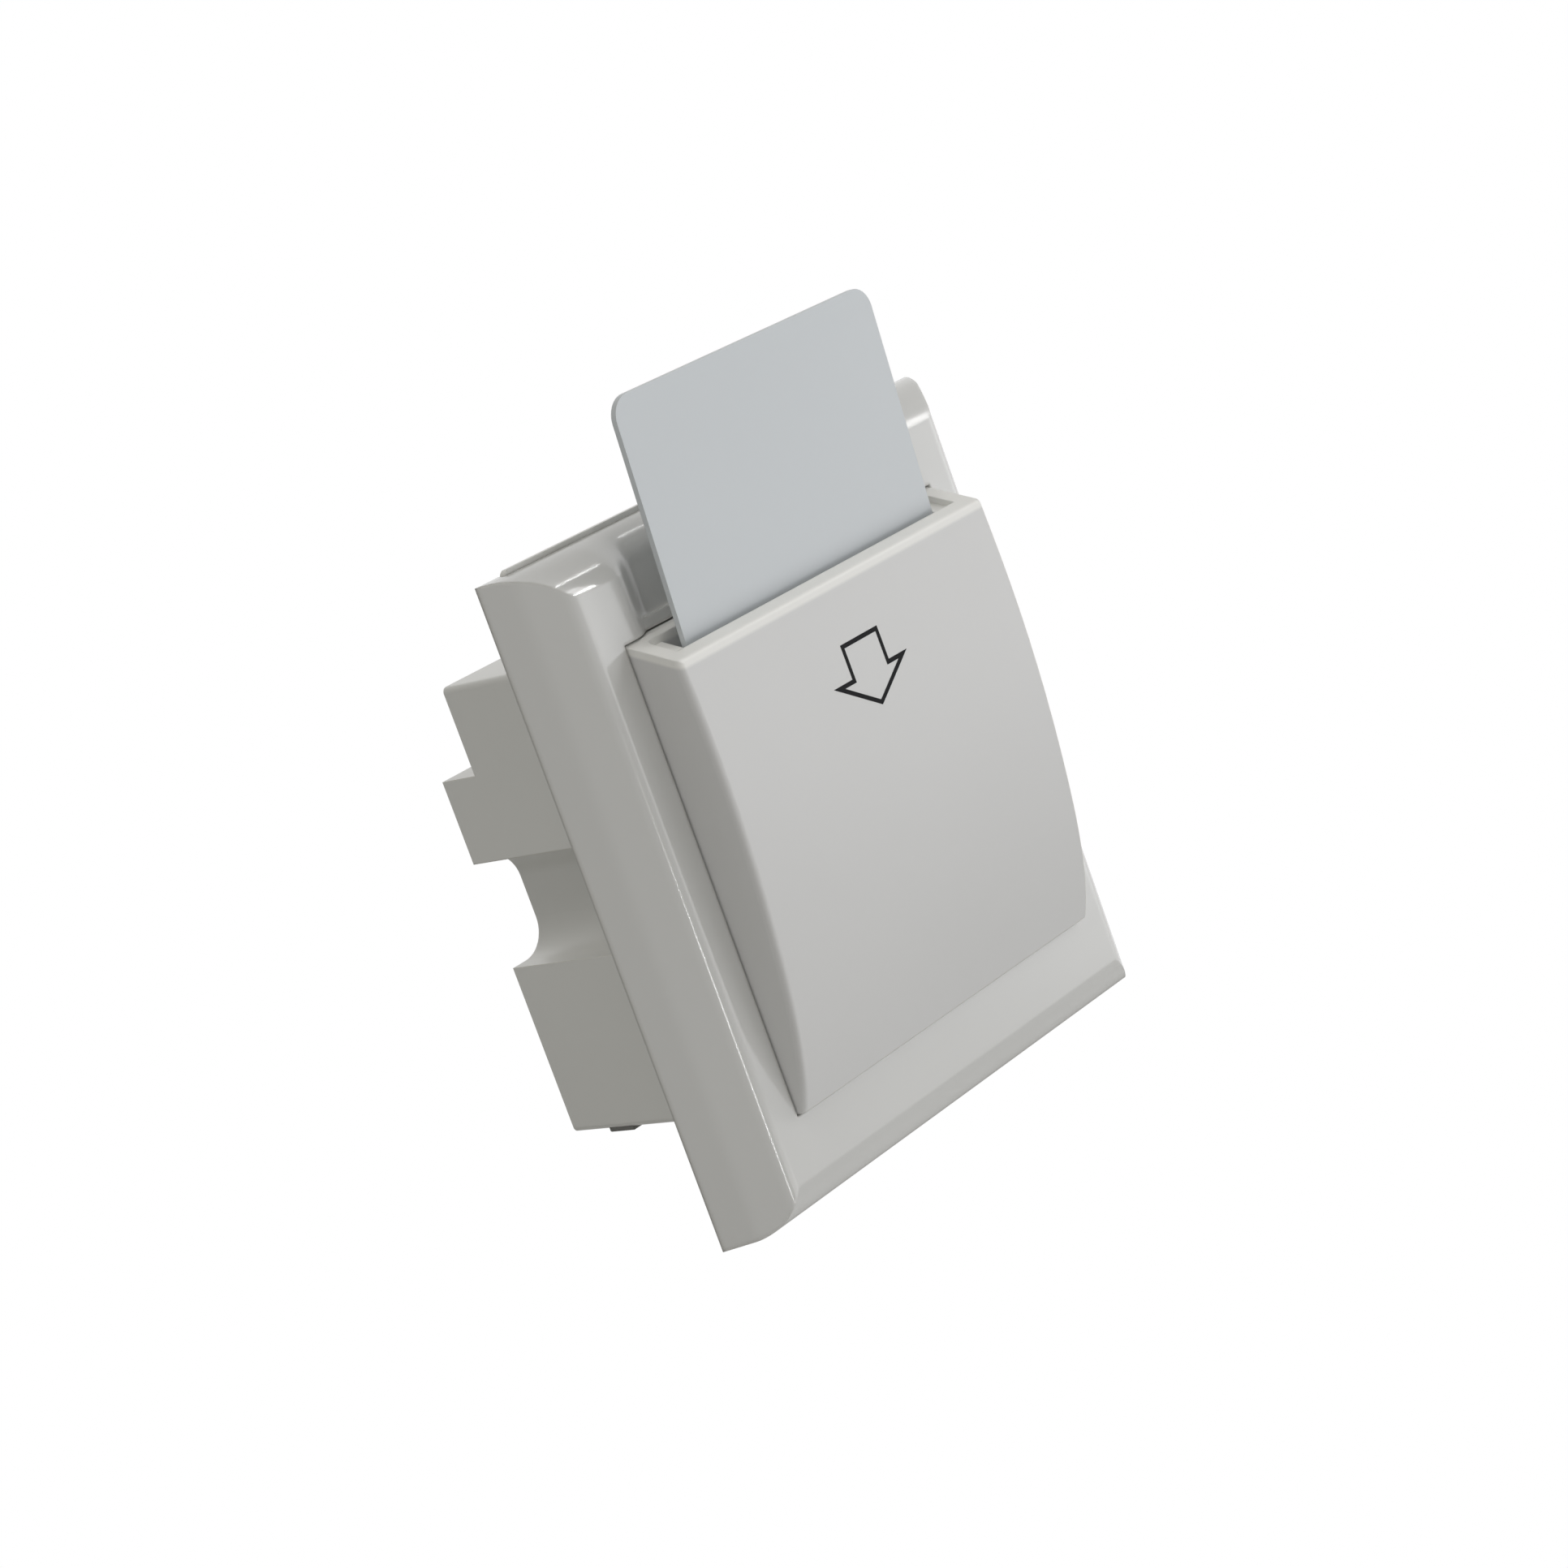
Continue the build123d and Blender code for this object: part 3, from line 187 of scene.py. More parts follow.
@dataclass
class SharedEffects:
    """Shader node groups that several finishes use, each made once."""

    speck_pick: float = 0.93
    speck_radius: float = 0.022
    speck_colour: Colour = (0.16, 0.15, 0.13)
    edge_samples: int = 8
    edge_gain: float = 5.0
    made: dict[str, bpy.types.NodeTree] = field(default_factory=dict)

    def sheet(
        self,
        name: str,
        takes: Iterable[tuple[str, SocketKind, float]],
        gives: Iterable[tuple[str, SocketKind]],
    ) -> tuple[NodeSheet, bpy.types.Node, bpy.types.Node]:
        """Start a group with its sockets.

        Args:
            name: Name of the group.
            takes: Name, kind and default of each input; a colour's default isn't used.
            gives: Name and kind of each output.

        Returns:
            The node sheet, the input node and the output node.
        """
        group = bpy.data.node_groups.new(name, "ShaderNodeTree")
        for label, kind, default in takes:
            socket = group.interface.new_socket(name=label, in_out="INPUT", socket_type=kind.value)
            if kind is SocketKind.NUMBER:
                socket.default_value = default
        for label, kind in gives:
            group.interface.new_socket(name=label, in_out="OUTPUT", socket_type=kind.value)
        self.made[name] = group
        sheet = NodeSheet(group)
        return sheet, sheet.add("NodeGroupInput"), sheet.add("NodeGroupOutput")

    def mould_grain(self) -> bpy.types.NodeTree:
        """Fine skin of a moulded or drawn surface.

        Returns:
            Group with a Height and a Roughness output.
        """
        if "mould_grain" in self.made:
            return self.made["mould_grain"]
        sheet, given, out = self.sheet(
            "mould_grain",
            (
                ("Scale", SocketKind.NUMBER, 900.0),
                ("Roughness", SocketKind.NUMBER, 0.3),
                ("Spread", SocketKind.NUMBER, 0.05),
            ),
            (("Height", SocketKind.NUMBER), ("Roughness", SocketKind.NUMBER)),
        )
        place = sheet.add("ShaderNodeTexCoord")
        fine = sheet.add("ShaderNodeTexNoise", {"Detail": 4.0, "Roughness": 0.6})
        wide = sheet.add("ShaderNodeTexNoise", {"Scale": 34.0, "Detail": 2.0})
        for noise in (fine, wide):
            sheet.join(place.outputs["Object"], noise.inputs["Vector"])
        sheet.join(given.outputs["Scale"], fine.inputs["Scale"])
        sheet.join(fine.outputs[0], out.inputs["Height"])
        drift = sheet.math("SUBTRACT", wide.outputs[0], NOISE_MIDDLE)
        drift = sheet.math("MULTIPLY", drift, given.outputs["Spread"])
        rough = sheet.math("ADD", drift, given.outputs["Roughness"], clamp=True)
        sheet.join(rough, out.inputs["Roughness"])
        return self.made["mould_grain"]

    def tone_drift(self) -> bpy.types.NodeTree:
        """Slow change of a colour over a surface, with a rare fine speck.

        Returns:
            Group with a Color output.
        """
        if "tone_drift" in self.made:
            return self.made["tone_drift"]
        sheet, given, out = self.sheet(
            "tone_drift",
            (
                ("Color", SocketKind.COLOUR, 0.0),
                ("Drift", SocketKind.NUMBER, 0.03),
                ("Scale", SocketKind.NUMBER, 22.0),
                ("Specks", SocketKind.NUMBER, 0.0),
            ),
            (("Color", SocketKind.COLOUR),),
        )
        place = sheet.add("ShaderNodeTexCoord")
        wide = sheet.add("ShaderNodeTexNoise", {"Detail": 3.0, "Roughness": 0.5})
        sheet.join(place.outputs["Object"], wide.inputs["Vector"])
        sheet.join(given.outputs["Scale"], wide.inputs["Scale"])
        drift = sheet.math("SUBTRACT", wide.outputs[0], NOISE_MIDDLE)
        drift = sheet.math("MULTIPLY", drift, given.outputs["Drift"])
        # Twice the distance from the middle runs from -1 to 1
        level = sheet.math("ADD", sheet.math("MULTIPLY", drift, 2.0), 1.0)
        tone = sheet.add("ShaderNodeVectorMath", operation="SCALE")
        sheet.join(given.outputs["Color"], tone.inputs[0])
        sheet.join(level, tone.inputs["Scale"])
        cell = sheet.add("ShaderNodeTexVoronoi", {"Scale": 95.0, "Randomness": 1.0})
        sheet.join(place.outputs["Object"], cell.inputs["Vector"])
        pick = sheet.add("ShaderNodeSeparateColor")
        sheet.join(cell.outputs["Color"], pick.inputs["Color"])
        chosen = sheet.math("GREATER_THAN", pick.outputs["Red"], self.speck_pick)
        speck = sheet.math("LESS_THAN", cell.outputs["Distance"], self.speck_radius)
        speck = sheet.math("MULTIPLY", speck, chosen)
        speck = sheet.math("MULTIPLY", speck, given.outputs["Specks"])
        colour = sheet.blend(speck, tone.outputs[0], self.speck_colour)
        sheet.join(colour, out.inputs["Color"])
        return self.made["tone_drift"]

    def soft_edge(self) -> bpy.types.NodeTree:
        """Small rounding of every edge, and a mask of where it lies.

        Returns:
            Group with a Normal and a Mask output.
        """
        if "soft_edge" in self.made:
            return self.made["soft_edge"]
        sheet, given, out = self.sheet(
            "soft_edge",
            (("Radius", SocketKind.NUMBER, 0.4 * MM),),
            (("Normal", SocketKind.VECTOR), ("Mask", SocketKind.NUMBER)),
        )
        rounding = sheet.add("ShaderNodeBevel", samples=self.edge_samples)
        sheet.join(given.outputs["Radius"], rounding.inputs["Radius"])
        flat = sheet.add("ShaderNodeNewGeometry")
        turn = sheet.add("ShaderNodeVectorMath", operation="DOT_PRODUCT")
        sheet.join(rounding.outputs["Normal"], turn.inputs[0])
        sheet.join(flat.outputs["Normal"], turn.inputs[1])
        away = sheet.math("SUBTRACT", 1.0, turn.outputs["Value"])
        mask = sheet.math("MULTIPLY", away, self.edge_gain, clamp=True)
        sheet.join(mask, out.inputs["Mask"])
        sheet.join(rounding.outputs["Normal"], out.inputs["Normal"])
        return self.made["soft_edge"]

    def slanted_end(self) -> bpy.types.NodeTree:
        """Points above a slanted plane, with a soft lower side.

        Returns:
            Group with a Mask output; Lean and Rise are the Y and Z parts of
            the plane's normal, and Level is its distance from the origin.
        """
        if "slanted_end" in self.made:
            return self.made["slanted_end"]
        sheet, given, out = self.sheet(
            "slanted_end",
            (
                ("Lean", SocketKind.NUMBER, 0.0),
                ("Rise", SocketKind.NUMBER, 1.0),
                ("Level", SocketKind.NUMBER, 0.0),
                ("Fade", SocketKind.NUMBER, 0.4 * MM),
            ),
            (("Mask", SocketKind.NUMBER),),
        )
        place = sheet.add("ShaderNodeTexCoord")
        parts = sheet.add("ShaderNodeSeparateXYZ")
        sheet.join(place.outputs["Object"], parts.inputs[0])
        lean = sheet.math("MULTIPLY", parts.outputs["Y"], given.outputs["Lean"])
        rise = sheet.math("MULTIPLY", parts.outputs["Z"], given.outputs["Rise"])
        above = sheet.math("SUBTRACT", sheet.math("ADD", lean, rise), given.outputs["Level"])
        mask = sheet.math("DIVIDE", above, given.outputs["Fade"], clamp=True)
        sheet.join(mask, out.inputs["Mask"])
        return self.made["slanted_end"]


EFFECTS = SharedEffects()


@dataclass(frozen=True)
class PaintedLitTop:
    """Painted highlight above a slanted plane: a lighter colour on the top faces of thin walls and
    their front edge, where light falls from above.
    """

    lean: float
    rise: float
    level: float
    colour: Colour


@dataclass(frozen=True)
class MouldedPlastic:
    """Injection-moulded plastic: colour, gloss, skin, and edges in an edge colour that gives wear
    and, where it is light, a painted highlight.
    """

    name: str
    colour: Colour
    gloss: Gloss = Gloss.SATIN
    edge_colour: Colour | None = None
    edge_radius: float = 0.35 * MM
    edge_wear_and_highlight: float = 0.6
    grain_scale: float = 1500.0
    grain_height: float = 0.03
    drift: float = 0.03
    specks: float = 0.0
    sheen: float = 0.5
    refraction: float = 1.5
    painted_lit_top: PaintedLitTop | None = None

    def make(self) -> bpy.types.Material:
        """Build the material.

        Returns:
            The node material.
        """
        material, sheet, surface = blank_material(self.name)
        roughness, coat = self.gloss.value
        gloss = {"Coat Weight": coat, "Coat Roughness": roughness / 2}
        set_inputs(surface, gloss | {"IOR": self.refraction, "Specular IOR Level": self.sheen})
        tint = {"Color": (*self.colour, 1.0), "Drift": self.drift, "Specks": self.specks}
        tone = group_node(sheet, EFFECTS.tone_drift(), tint)
        edge = group_node(sheet, EFFECTS.soft_edge(), {"Radius": self.edge_radius})
        # Edges take the edge colour: wear, and where that colour is lighter, a painted highlight
        # along the rounded edges
        worn = tuple(min(1.0, part * WORN_FACTOR + WORN_RISE) for part in self.colour)
        rim = self.edge_colour or worn
        share = sheet.math("MULTIPLY", edge.outputs["Mask"], self.edge_wear_and_highlight)
        colour = sheet.blend(share, tone.outputs["Color"], rim)
        # Painted highlight: the lighter colour above the slanted plane stands in for light on the
        # top faces
        if self.painted_lit_top:
            end = self.painted_lit_top
            plane = {"Lean": end.lean, "Rise": end.rise, "Level": end.level}
            above = group_node(sheet, EFFECTS.slanted_end(), plane)
            colour = sheet.blend(above.outputs["Mask"], colour, end.colour)
        sheet.join(colour, surface.inputs["Base Color"])
        finish_skin(sheet, surface, edge, self.grain_scale, self.grain_height, roughness)
        return material


@dataclass(frozen=True)
class BareMetal:
    """Plated or drawn metal with fine drawing lines and rubbed edges."""

    name: str
    metal: Metal
    edge_radius: float = 0.1 * MM
    lines: float = 1800.0
    line_height: float = 0.06
    dulling: float = 0.25
    dull_share: float = 0.5

    def make(self) -> bpy.types.Material:
        """Build the material.

        Returns:
            The node material.
        """
        material, sheet, surface = blank_material(self.name)
        colour, roughness = self.metal.value
        set_inputs(surface, {"Metallic": 1.0})
        tint = {"Color": (*colour, 1.0), "Drift": 0.12, "Scale": 160.0}
        tone = group_node(sheet, EFFECTS.tone_drift(), tint)
        edge = group_node(sheet, EFFECTS.soft_edge(), {"Radius": self.edge_radius})
        dull = tuple(part * (1.0 - self.dulling) for part in colour)
        keep = sheet.math("SUBTRACT", 1.0, edge.outputs["Mask"])
        share = sheet.math("MULTIPLY", keep, self.dull_share)
        sheet.join(sheet.blend(share, tone.outputs["Color"], dull), surface.inputs["Base Color"])
        finish_skin(sheet, surface, edge, self.lines, self.line_height, roughness)
        return material


@dataclass(frozen=True)
class BoardLaminate:
    """Circuit board: solder mask over copper tracks, woven glass below."""

    name: str = "board_laminate"
    mask: Colour = (0.012, 0.13, 0.05)
    track: Colour = (0.03, 0.22, 0.08)
    track_pitch: float = 2.54 * MM

    def make(self) -> bpy.types.Material:
        """Build the material.

        Returns:
            The node material.
        """
        material, sheet, surface = blank_material(self.name)
        set_inputs(surface, {"Coat Weight": 0.3})
        place = sheet.add("ShaderNodeTexCoord")
        lay = sheet.add("ShaderNodeMapping", {"Rotation": (math.radians(90.0), 0.0, 0.0)})
        sheet.join(place.outputs["Object"], lay.inputs["Vector"])
        pattern = {
            "Scale": 1.0 / (4.0 * self.track_pitch),
            "Mortar Size": 0.06,
            "Brick Width": 0.9,
            "Row Height": 0.25,
            "Color1": (0.0, 0.0, 0.0, 1.0),
            "Color2": (0.0, 0.0, 0.0, 1.0),
            "Mortar": (1.0, 1.0, 1.0, 1.0),
        }
        tracks = sheet.add("ShaderNodeTexBrick", pattern, offset=0.37)
        sheet.join(lay.outputs["Vector"], tracks.inputs["Vector"])
        tone = group_node(sheet, EFFECTS.tone_drift(), {"Drift": 0.08, "Scale": 60.0})
        copper = sheet.blend(tracks.outputs["Color"], self.mask, self.track)
        sheet.join(copper, tone.inputs["Color"])
        sheet.join(tone.outputs["Color"], surface.inputs["Base Color"])
        edge = group_node(sheet, EFFECTS.soft_edge(), {"Radius": 0.1 * MM})
        finish_skin(sheet, surface, edge, scale=2200.0, height=0.05, roughness=0.3)
        return material


@dataclass(frozen=True)
class RingedBody:
    """Lacquered resistor body with coloured rings around it."""

    name: str = "resistor_lacquer"
    colour: Colour = (0.48, 0.36, 0.20)
    rings: tuple[Colour, ...] = (
        (0.25, 0.10, 0.03),
        (0.05, 0.05, 0.05),
        (0.55, 0.10, 0.03),
        (0.45, 0.32, 0.08),
    )
    first_x: float = -12.2 * MM
    step: float = 1.25 * MM
    width: float = 0.55 * MM
    repeat: float = 13.0 * MM

    def make(self) -> bpy.types.Material:
        """Build the material.

        Returns:
            The node material.
        """
        material, sheet, surface = blank_material(self.name)
        tint = {"Color": (*self.colour, 1.0), "Drift": 0.06, "Scale": 200.0}
        tone = group_node(sheet, EFFECTS.tone_drift(), tint)
        place = sheet.add("ShaderNodeTexCoord")
        split = sheet.add("ShaderNodeSeparateXYZ")
        sheet.join(place.outputs["Object"], split.inputs["Vector"])
        along = sheet.math("SUBTRACT", split.outputs["X"], self.first_x)
        along = sheet.math("FLOORED_MODULO", along, self.repeat)
        colour = tone.outputs["Color"]
        for index, ring in enumerate(self.rings):
            middle = (index + 0.5) * self.step
            off = sheet.math("ABSOLUTE", sheet.math("SUBTRACT", along, middle))
            inside = sheet.math("LESS_THAN", off, self.width / 2)
            colour = sheet.blend(inside, colour, ring)
        sheet.join(colour, surface.inputs["Base Color"])
        edge = group_node(sheet, EFFECTS.soft_edge(), {"Radius": 0.2 * MM})
        finish_skin(sheet, surface, edge, scale=1200.0, height=0.05, roughness=0.35)
        return material


@dataclass(frozen=True)
class FuseGlass:
    """Clear tube glass with a faint green tint."""

    name: str = "fuse_glass_tube"
    tint: Colour = (0.86, 0.93, 0.90)

    def make(self) -> bpy.types.Material:
        """Build the material.

        Returns:
            The node material.
        """
        material, sheet, surface = blank_material(self.name)
        set_inputs(surface, {"Transmission Weight": 0.9, "IOR": 1.47})
        tint = {"Color": (*self.tint, 1.0), "Drift": 0.02, "Scale": 80.0}
        tone = group_node(sheet, EFFECTS.tone_drift(), tint)
        sheet.join(tone.outputs["Color"], surface.inputs["Base Color"])
        edge = group_node(sheet, EFFECTS.soft_edge(), {"Radius": 0.1 * MM})
        finish_skin(sheet, surface, edge, scale=300.0, height=0.01, roughness=0.05)
        return material


Finish = MouldedPlastic | BareMetal | BoardLaminate | RingedBody | FuseGlass


def blank_material(name: str) -> tuple[bpy.types.Material, NodeSheet, bpy.types.Node]:
    """Start a node material.

    Args:
        name: Name of the material.

    Returns:
        The material, its node sheet and its shader node.
    """
    material = bpy.data.materials.new(name)
    material.use_nodes = True
    tree = material.node_tree
    return material, NodeSheet(tree), tree.nodes["Principled BSDF"]


def group_node(
    sheet: NodeSheet, group: bpy.types.NodeTree, inputs: dict[str, object]
) -> bpy.types.Node:
    """Place a shared effect in a material.

    Args:
        sheet: The material's node sheet.
        group: The effect's node group.
        inputs: Values for its input sockets, by name.

    Returns:
        The group's node.
    """
    node = sheet.add("ShaderNodeGroup", node_tree=group)
    set_inputs(node, inputs)
    return node


def finish_skin(
    sheet: NodeSheet,
    surface: bpy.types.Node,
    edge: bpy.types.Node,
    scale: float,
    height: float,
    roughness: float,
) -> None:
    """Give a material its fine skin: varied roughness, and a bump over the softened edges.

    Args:
        sheet: The material's node sheet.
        surface: The material's shader node.
        edge: The placed soft edge effect.
        scale: Scale of the fine grain.
        height: Height of the bump, in tenths of a millimetre.
        roughness: Middle roughness of the surface.
    """
    values = {"Scale": scale, "Roughness": roughness, "Spread": SKIN_SPREAD}
    grain = group_node(sheet, EFFECTS.mould_grain(), values)
    relief = {"Strength": SKIN_STRENGTH, "Distance": height * SKIN_UNIT}
    bump = sheet.add("ShaderNodeBump", relief)
    sheet.join(grain.outputs["Height"], bump.inputs["Height"])
    sheet.join(edge.outputs["Normal"], bump.inputs["Normal"])
    sheet.join(bump.outputs["Normal"], surface.inputs["Normal"])
    sheet.join(grain.outputs["Roughness"], surface.inputs["Roughness"])


def dress(finish: Finish, *names: str) -> bpy.types.Material:
    """Give CAD nodes a finish.

    Args:
        finish: The finish to build.
        *names: Names of the nodes that take it.

    Returns:
        The material that the nodes now have.
    """
    material = finish.make()
    for name in names:
        for material_slot in NODES[name].material_slots:
            material_slot.material = material
        log.info("%s: finish %s", name, finish.name)
    return material


def nothing_selected() -> None:
    """Go to object mode with nothing selected."""
    if bpy.context.object is not None and bpy.context.object.mode != "OBJECT":
        bpy.ops.object.mode_set(mode="OBJECT")
    bpy.ops.object.select_all(action="DESELECT")


def select_where(piece: bpy.types.Object, part: MeshPart, test: Callable[[Vector], bool]) -> None:
    """Select parts of the mesh being edited by the place of their middle.

    Args:
        piece: The object in edit mode.
        part: Whether vertices or edges are selected.
        test: Says whether a part is selected, from its middle.
    """
    bpy.ops.mesh.select_mode(type=part.value)
    bpy.ops.mesh.select_all(action="DESELECT")
    mesh = bmesh.from_edit_mesh(piece.data)
    if part is MeshPart.EDGE:
        for edge in mesh.edges:
            edge.select_set(test((edge.verts[0].co + edge.verts[1].co) / 2))
    else:
        for vert in mesh.verts:
            vert.select_set(test(vert.co))
    mesh.select_flush_mode()
    bmesh.update_edit_mesh(piece.data)


def settle(piece: bpy.types.Object, name: str, body: str) -> None:
    """Finish a new piece: name it, apply its place and let it ride on a body.

    Args:
        piece: The new object.
        name: Name of the piece.
        body: CAD body that it moves with.
    """
    nothing_selected()
    piece.select_set(True)
    bpy.context.view_layer.objects.active = piece
    bpy.ops.object.transform_apply(location=True, rotation=True, scale=True)
    piece.name = name
    piece.data.name = name
    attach(piece, body)
    nothing_selected()
    log.info("%s: %d faces, rides on %s", name, len(piece.data.polygons), body)


def keep_modifier(piece: bpy.types.Object, kind: str, **settings: object) -> None:
    """Add a modifier to the active piece and apply it.

    Args:
        piece: The active object, in object mode.
        kind: Blender's name of the modifier type.
        **settings: Properties of the modifier.
    """
    modifier = piece.modifiers.new(kind.lower(), kind)
    for setting, value in settings.items():
        setattr(modifier, setting, value)
    bpy.ops.object.modifier_apply(modifier=modifier.name)


def add_block(low: Point, high: Point) -> bpy.types.Object:
    """Add a block between two corners, with its place in its mesh.

    Args:
        low: The corner with the smallest coordinates.
        high: The corner with the largest coordinates.

    Returns:
        The new object, which alone is selected.
    """
    nothing_selected()
    bpy.ops.mesh.primitive_cube_add(
        size=1.0,
        location=[(start + end) / 2 for start, end in zip(low, high)],
        scale=[end - start for start, end in zip(low, high)],
    )
    bpy.ops.object.transform_apply(location=True, rotation=True, scale=True)
    return bpy.context.object


def settle_pair(
    right: bpy.types.Object, move: float, name: str, material: bpy.types.Material
) -> None:
    """Copy a piece to the left side, then finish and dress both pieces.

    Args:
        right: The piece on the right side, selected and in object mode.
        move: Distance in X from the piece to its copy.
        name: Name of the pieces, without their side.
        material: The finish of both pieces.
    """
    bpy.ops.object.duplicate()
    left = bpy.context.object
    bpy.ops.transform.translate(value=(move, 0.0, 0.0))
    for piece, side in ((right, "right"), (left, "left")):
        settle(piece, f"{name}_{side}", "switch")
        piece.data.materials.clear()
        piece.data.materials.append(material)


@dataclass
class FacePlate:
    """Glossy front frame and the mounting plate whose rim shows above and below it."""

    white: Colour = (0.70, 0.70, 0.69)
    # Painted light: the mounting plate is whiter than the frame so that its rim, which lies in
    # shade, still shows light
    plate_lightened_white: Colour = (0.82, 0.815, 0.79)
    # Lighter edge colour: wear, and a painted highlight along the rounded edges
    worn_and_lit_edge: Colour = (0.80, 0.785, 0.74)

    def build(self) -> None:
        """Dress the frame and the mounting plate."""
        polished = MouldedPlastic(
            "polished_white",
            self.white,
            Gloss.POLISHED,
            edge_colour=self.worn_and_lit_edge,
            edge_radius=0.8 * MM,
        )
        dress(polished, "front_frame")
        satin = MouldedPlastic(
            "mounting_plate_white",
            self.plate_lightened_white,
            edge_colour=self.worn_and_lit_edge,
            edge_radius=0.1 * MM,
        )
        dress(satin, "base_plate")


@dataclass
class InsertArrow:
    """Outlined arrow printed on the front of the pocket cover."""

    centre_x: float = 0.0
    shaft_half: float = 4.05 * MM
    head_half: float = 8.1 * MM
    top_z: float = 20.5 * MM
    shoulder_z: float = 15.72 * MM
    tip_z: float = 10.72 * MM
    line: float = 0.62 * MM
    film: float = 0.02 * MM
    stand_off: float = 2.0 * MM
    line_cuts: int = 7
    ink: Colour = (0.006, 0.006, 0.007)

    def build(self) -> None:
        """Draw the outline in front of the cover, lay it on and dress it."""
        plane_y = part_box("card_cover")[0].y - self.stand_off
        nothing_selected()
        bpy.ops.mesh.primitive_circle_add(
            vertices=3,
            radius=self.head_half,
            fill_type="NGON",
            location=(self.centre_x, plane_y, (self.shoulder_z + self.tip_z) / 2),
        )
        piece = bpy.context.object
        bpy.ops.object.mode_set(mode="EDIT")
        self.shape_head(piece, plane_y)
        self.raise_shaft(piece)
        self.cut_outline()
        bpy.ops.object.mode_set(mode="OBJECT")
        keep_modifier(
            piece,
            "SHRINKWRAP",
            target=NODES["card_cover"],
            wrap_method="PROJECT",
            use_project_y=True,
            use_positive_direction=True,
            offset=self.film / 2,
        )
        keep_modifier(piece, "SOLIDIFY", thickness=self.film, offset=0.0)
        settle(piece, "insert_arrow", "switch")
        ink = MouldedPlastic(
            "arrow_ink",
            self.ink,
            Gloss.MATT,
            edge_radius=0.02 * MM,
            grain_scale=3000.0,
            grain_height=0.02,
            drift=0.1,
            sheen=0.1,
        )
        piece.data.materials.append(ink.make())

    def shape_head(self, piece: bpy.types.Object, plane_y: float) -> None:
        """Turn the three-sided start into the arrow's head, pointing down.

        Args:
            piece: The object in edit mode.
            plane_y: Depth of the flat drawing in front of the cover.
        """
        mesh = bmesh.from_edit_mesh(piece.data)
        corners = (
            (self.centre_x, self.tip_z),
            (self.centre_x + self.head_half, self.shoulder_z),
            (self.centre_x - self.head_half, self.shoulder_z),
        )
        back = piece.matrix_world.inverted()
        for vert, (corner_x, corner_z) in zip(mesh.verts, corners):
            vert.co = back @ Vector((corner_x, plane_y, corner_z))
        bmesh.update_edit_mesh(piece.data)
        bpy.ops.object.mode_set(mode="OBJECT")
        bpy.ops.object.transform_apply(location=True, rotation=True, scale=True)
        bpy.ops.object.mode_set(mode="EDIT")

    def raise_shaft(self, piece: bpy.types.Object) -> None:
        """Divide the head's upper edge and extrude its middle into the shaft.

        Args:
            piece: The object in edit mode.
        """
        low_z = self.shoulder_z - NEAR
        select_where(piece, MeshPart.EDGE, lambda middle: middle.z > low_z)
        bpy.ops.mesh.subdivide(number_cuts=2)
        select_where(
            piece,
            MeshPart.VERT,
            lambda place: place.z > low_z and abs(place.x - self.centre_x) < self.head_half / 2,
        )
        # The two cuts leave the middle third of the edge
        widen = self.shaft_half / (self.head_half / 3)
        bpy.ops.transform.resize(
            value=(widen, 1.0, 1.0), center_override=(self.centre_x, 0.0, self.shoulder_z)
        )
        select_where(
            piece,
            MeshPart.EDGE,
            lambda middle: middle.z > low_z and abs(middle.x - self.centre_x) < NEAR,
        )
        bpy.ops.mesh.extrude_region_move(
            TRANSFORM_OT_translate={"value": (0.0, 0.0, self.top_z - self.shoulder_z)}
        )

    def cut_outline(self) -> None:
        """Join head and shaft, inset the face and leave only the outline."""
        bpy.ops.mesh.select_all(action="SELECT")
        bpy.ops.mesh.dissolve_limited(angle_limit=math.radians(1.0))
        bpy.ops.mesh.select_all(action="SELECT")
        bpy.ops.mesh.normals_make_consistent(inside=False)
        bpy.ops.mesh.inset(thickness=self.line, use_even_offset=True)
        bpy.ops.mesh.delete(type="FACE")
        bpy.ops.mesh.select_all(action="SELECT")
        bpy.ops.mesh.subdivide(number_cuts=self.line_cuts)


@dataclass
class SlotShoulders:
    """Small sloped blocks that close the two ends of the card slot."""

    inner_x: float = 27.4 * MM
    outer_x: float = 30.35 * MM
    rear_y: float = -9.25 * MM
    front_y: float = -14.2 * MM
    rear_z: float = 30.8 * MM
    front_z: float = 28.8 * MM
    height: float = 3.0 * MM
    edge: float = 0.25 * MM

    def build(self, material: bpy.types.Material) -> None:
        """Model one block, copy it to the other end and dress both.

        Args:
            material: The cover's material.
        """
        block = add_block(
            (self.inner_x, self.front_y, self.rear_z - self.height),
            (self.outer_x, self.rear_y, self.rear_z),
        )
        middle_y = (self.rear_y + self.front_y) / 2
        bpy.ops.object.mode_set(mode="EDIT")
        select_where(block, MeshPart.VERT, lambda place: place.y < middle_y)
        bpy.ops.transform.translate(value=(0.0, 0.0, self.front_z - self.rear_z))
        select_where(block, MeshPart.EDGE, lambda middle: middle.z > self.front_z - NEAR)
        bpy.ops.mesh.bevel(offset=self.edge, segments=EDGE_STEPS, affect="EDGES")
        bpy.ops.object.mode_set(mode="OBJECT")
        move = -self.inner_x - self.outer_x
        settle_pair(block, move, "slot_shoulder", material)


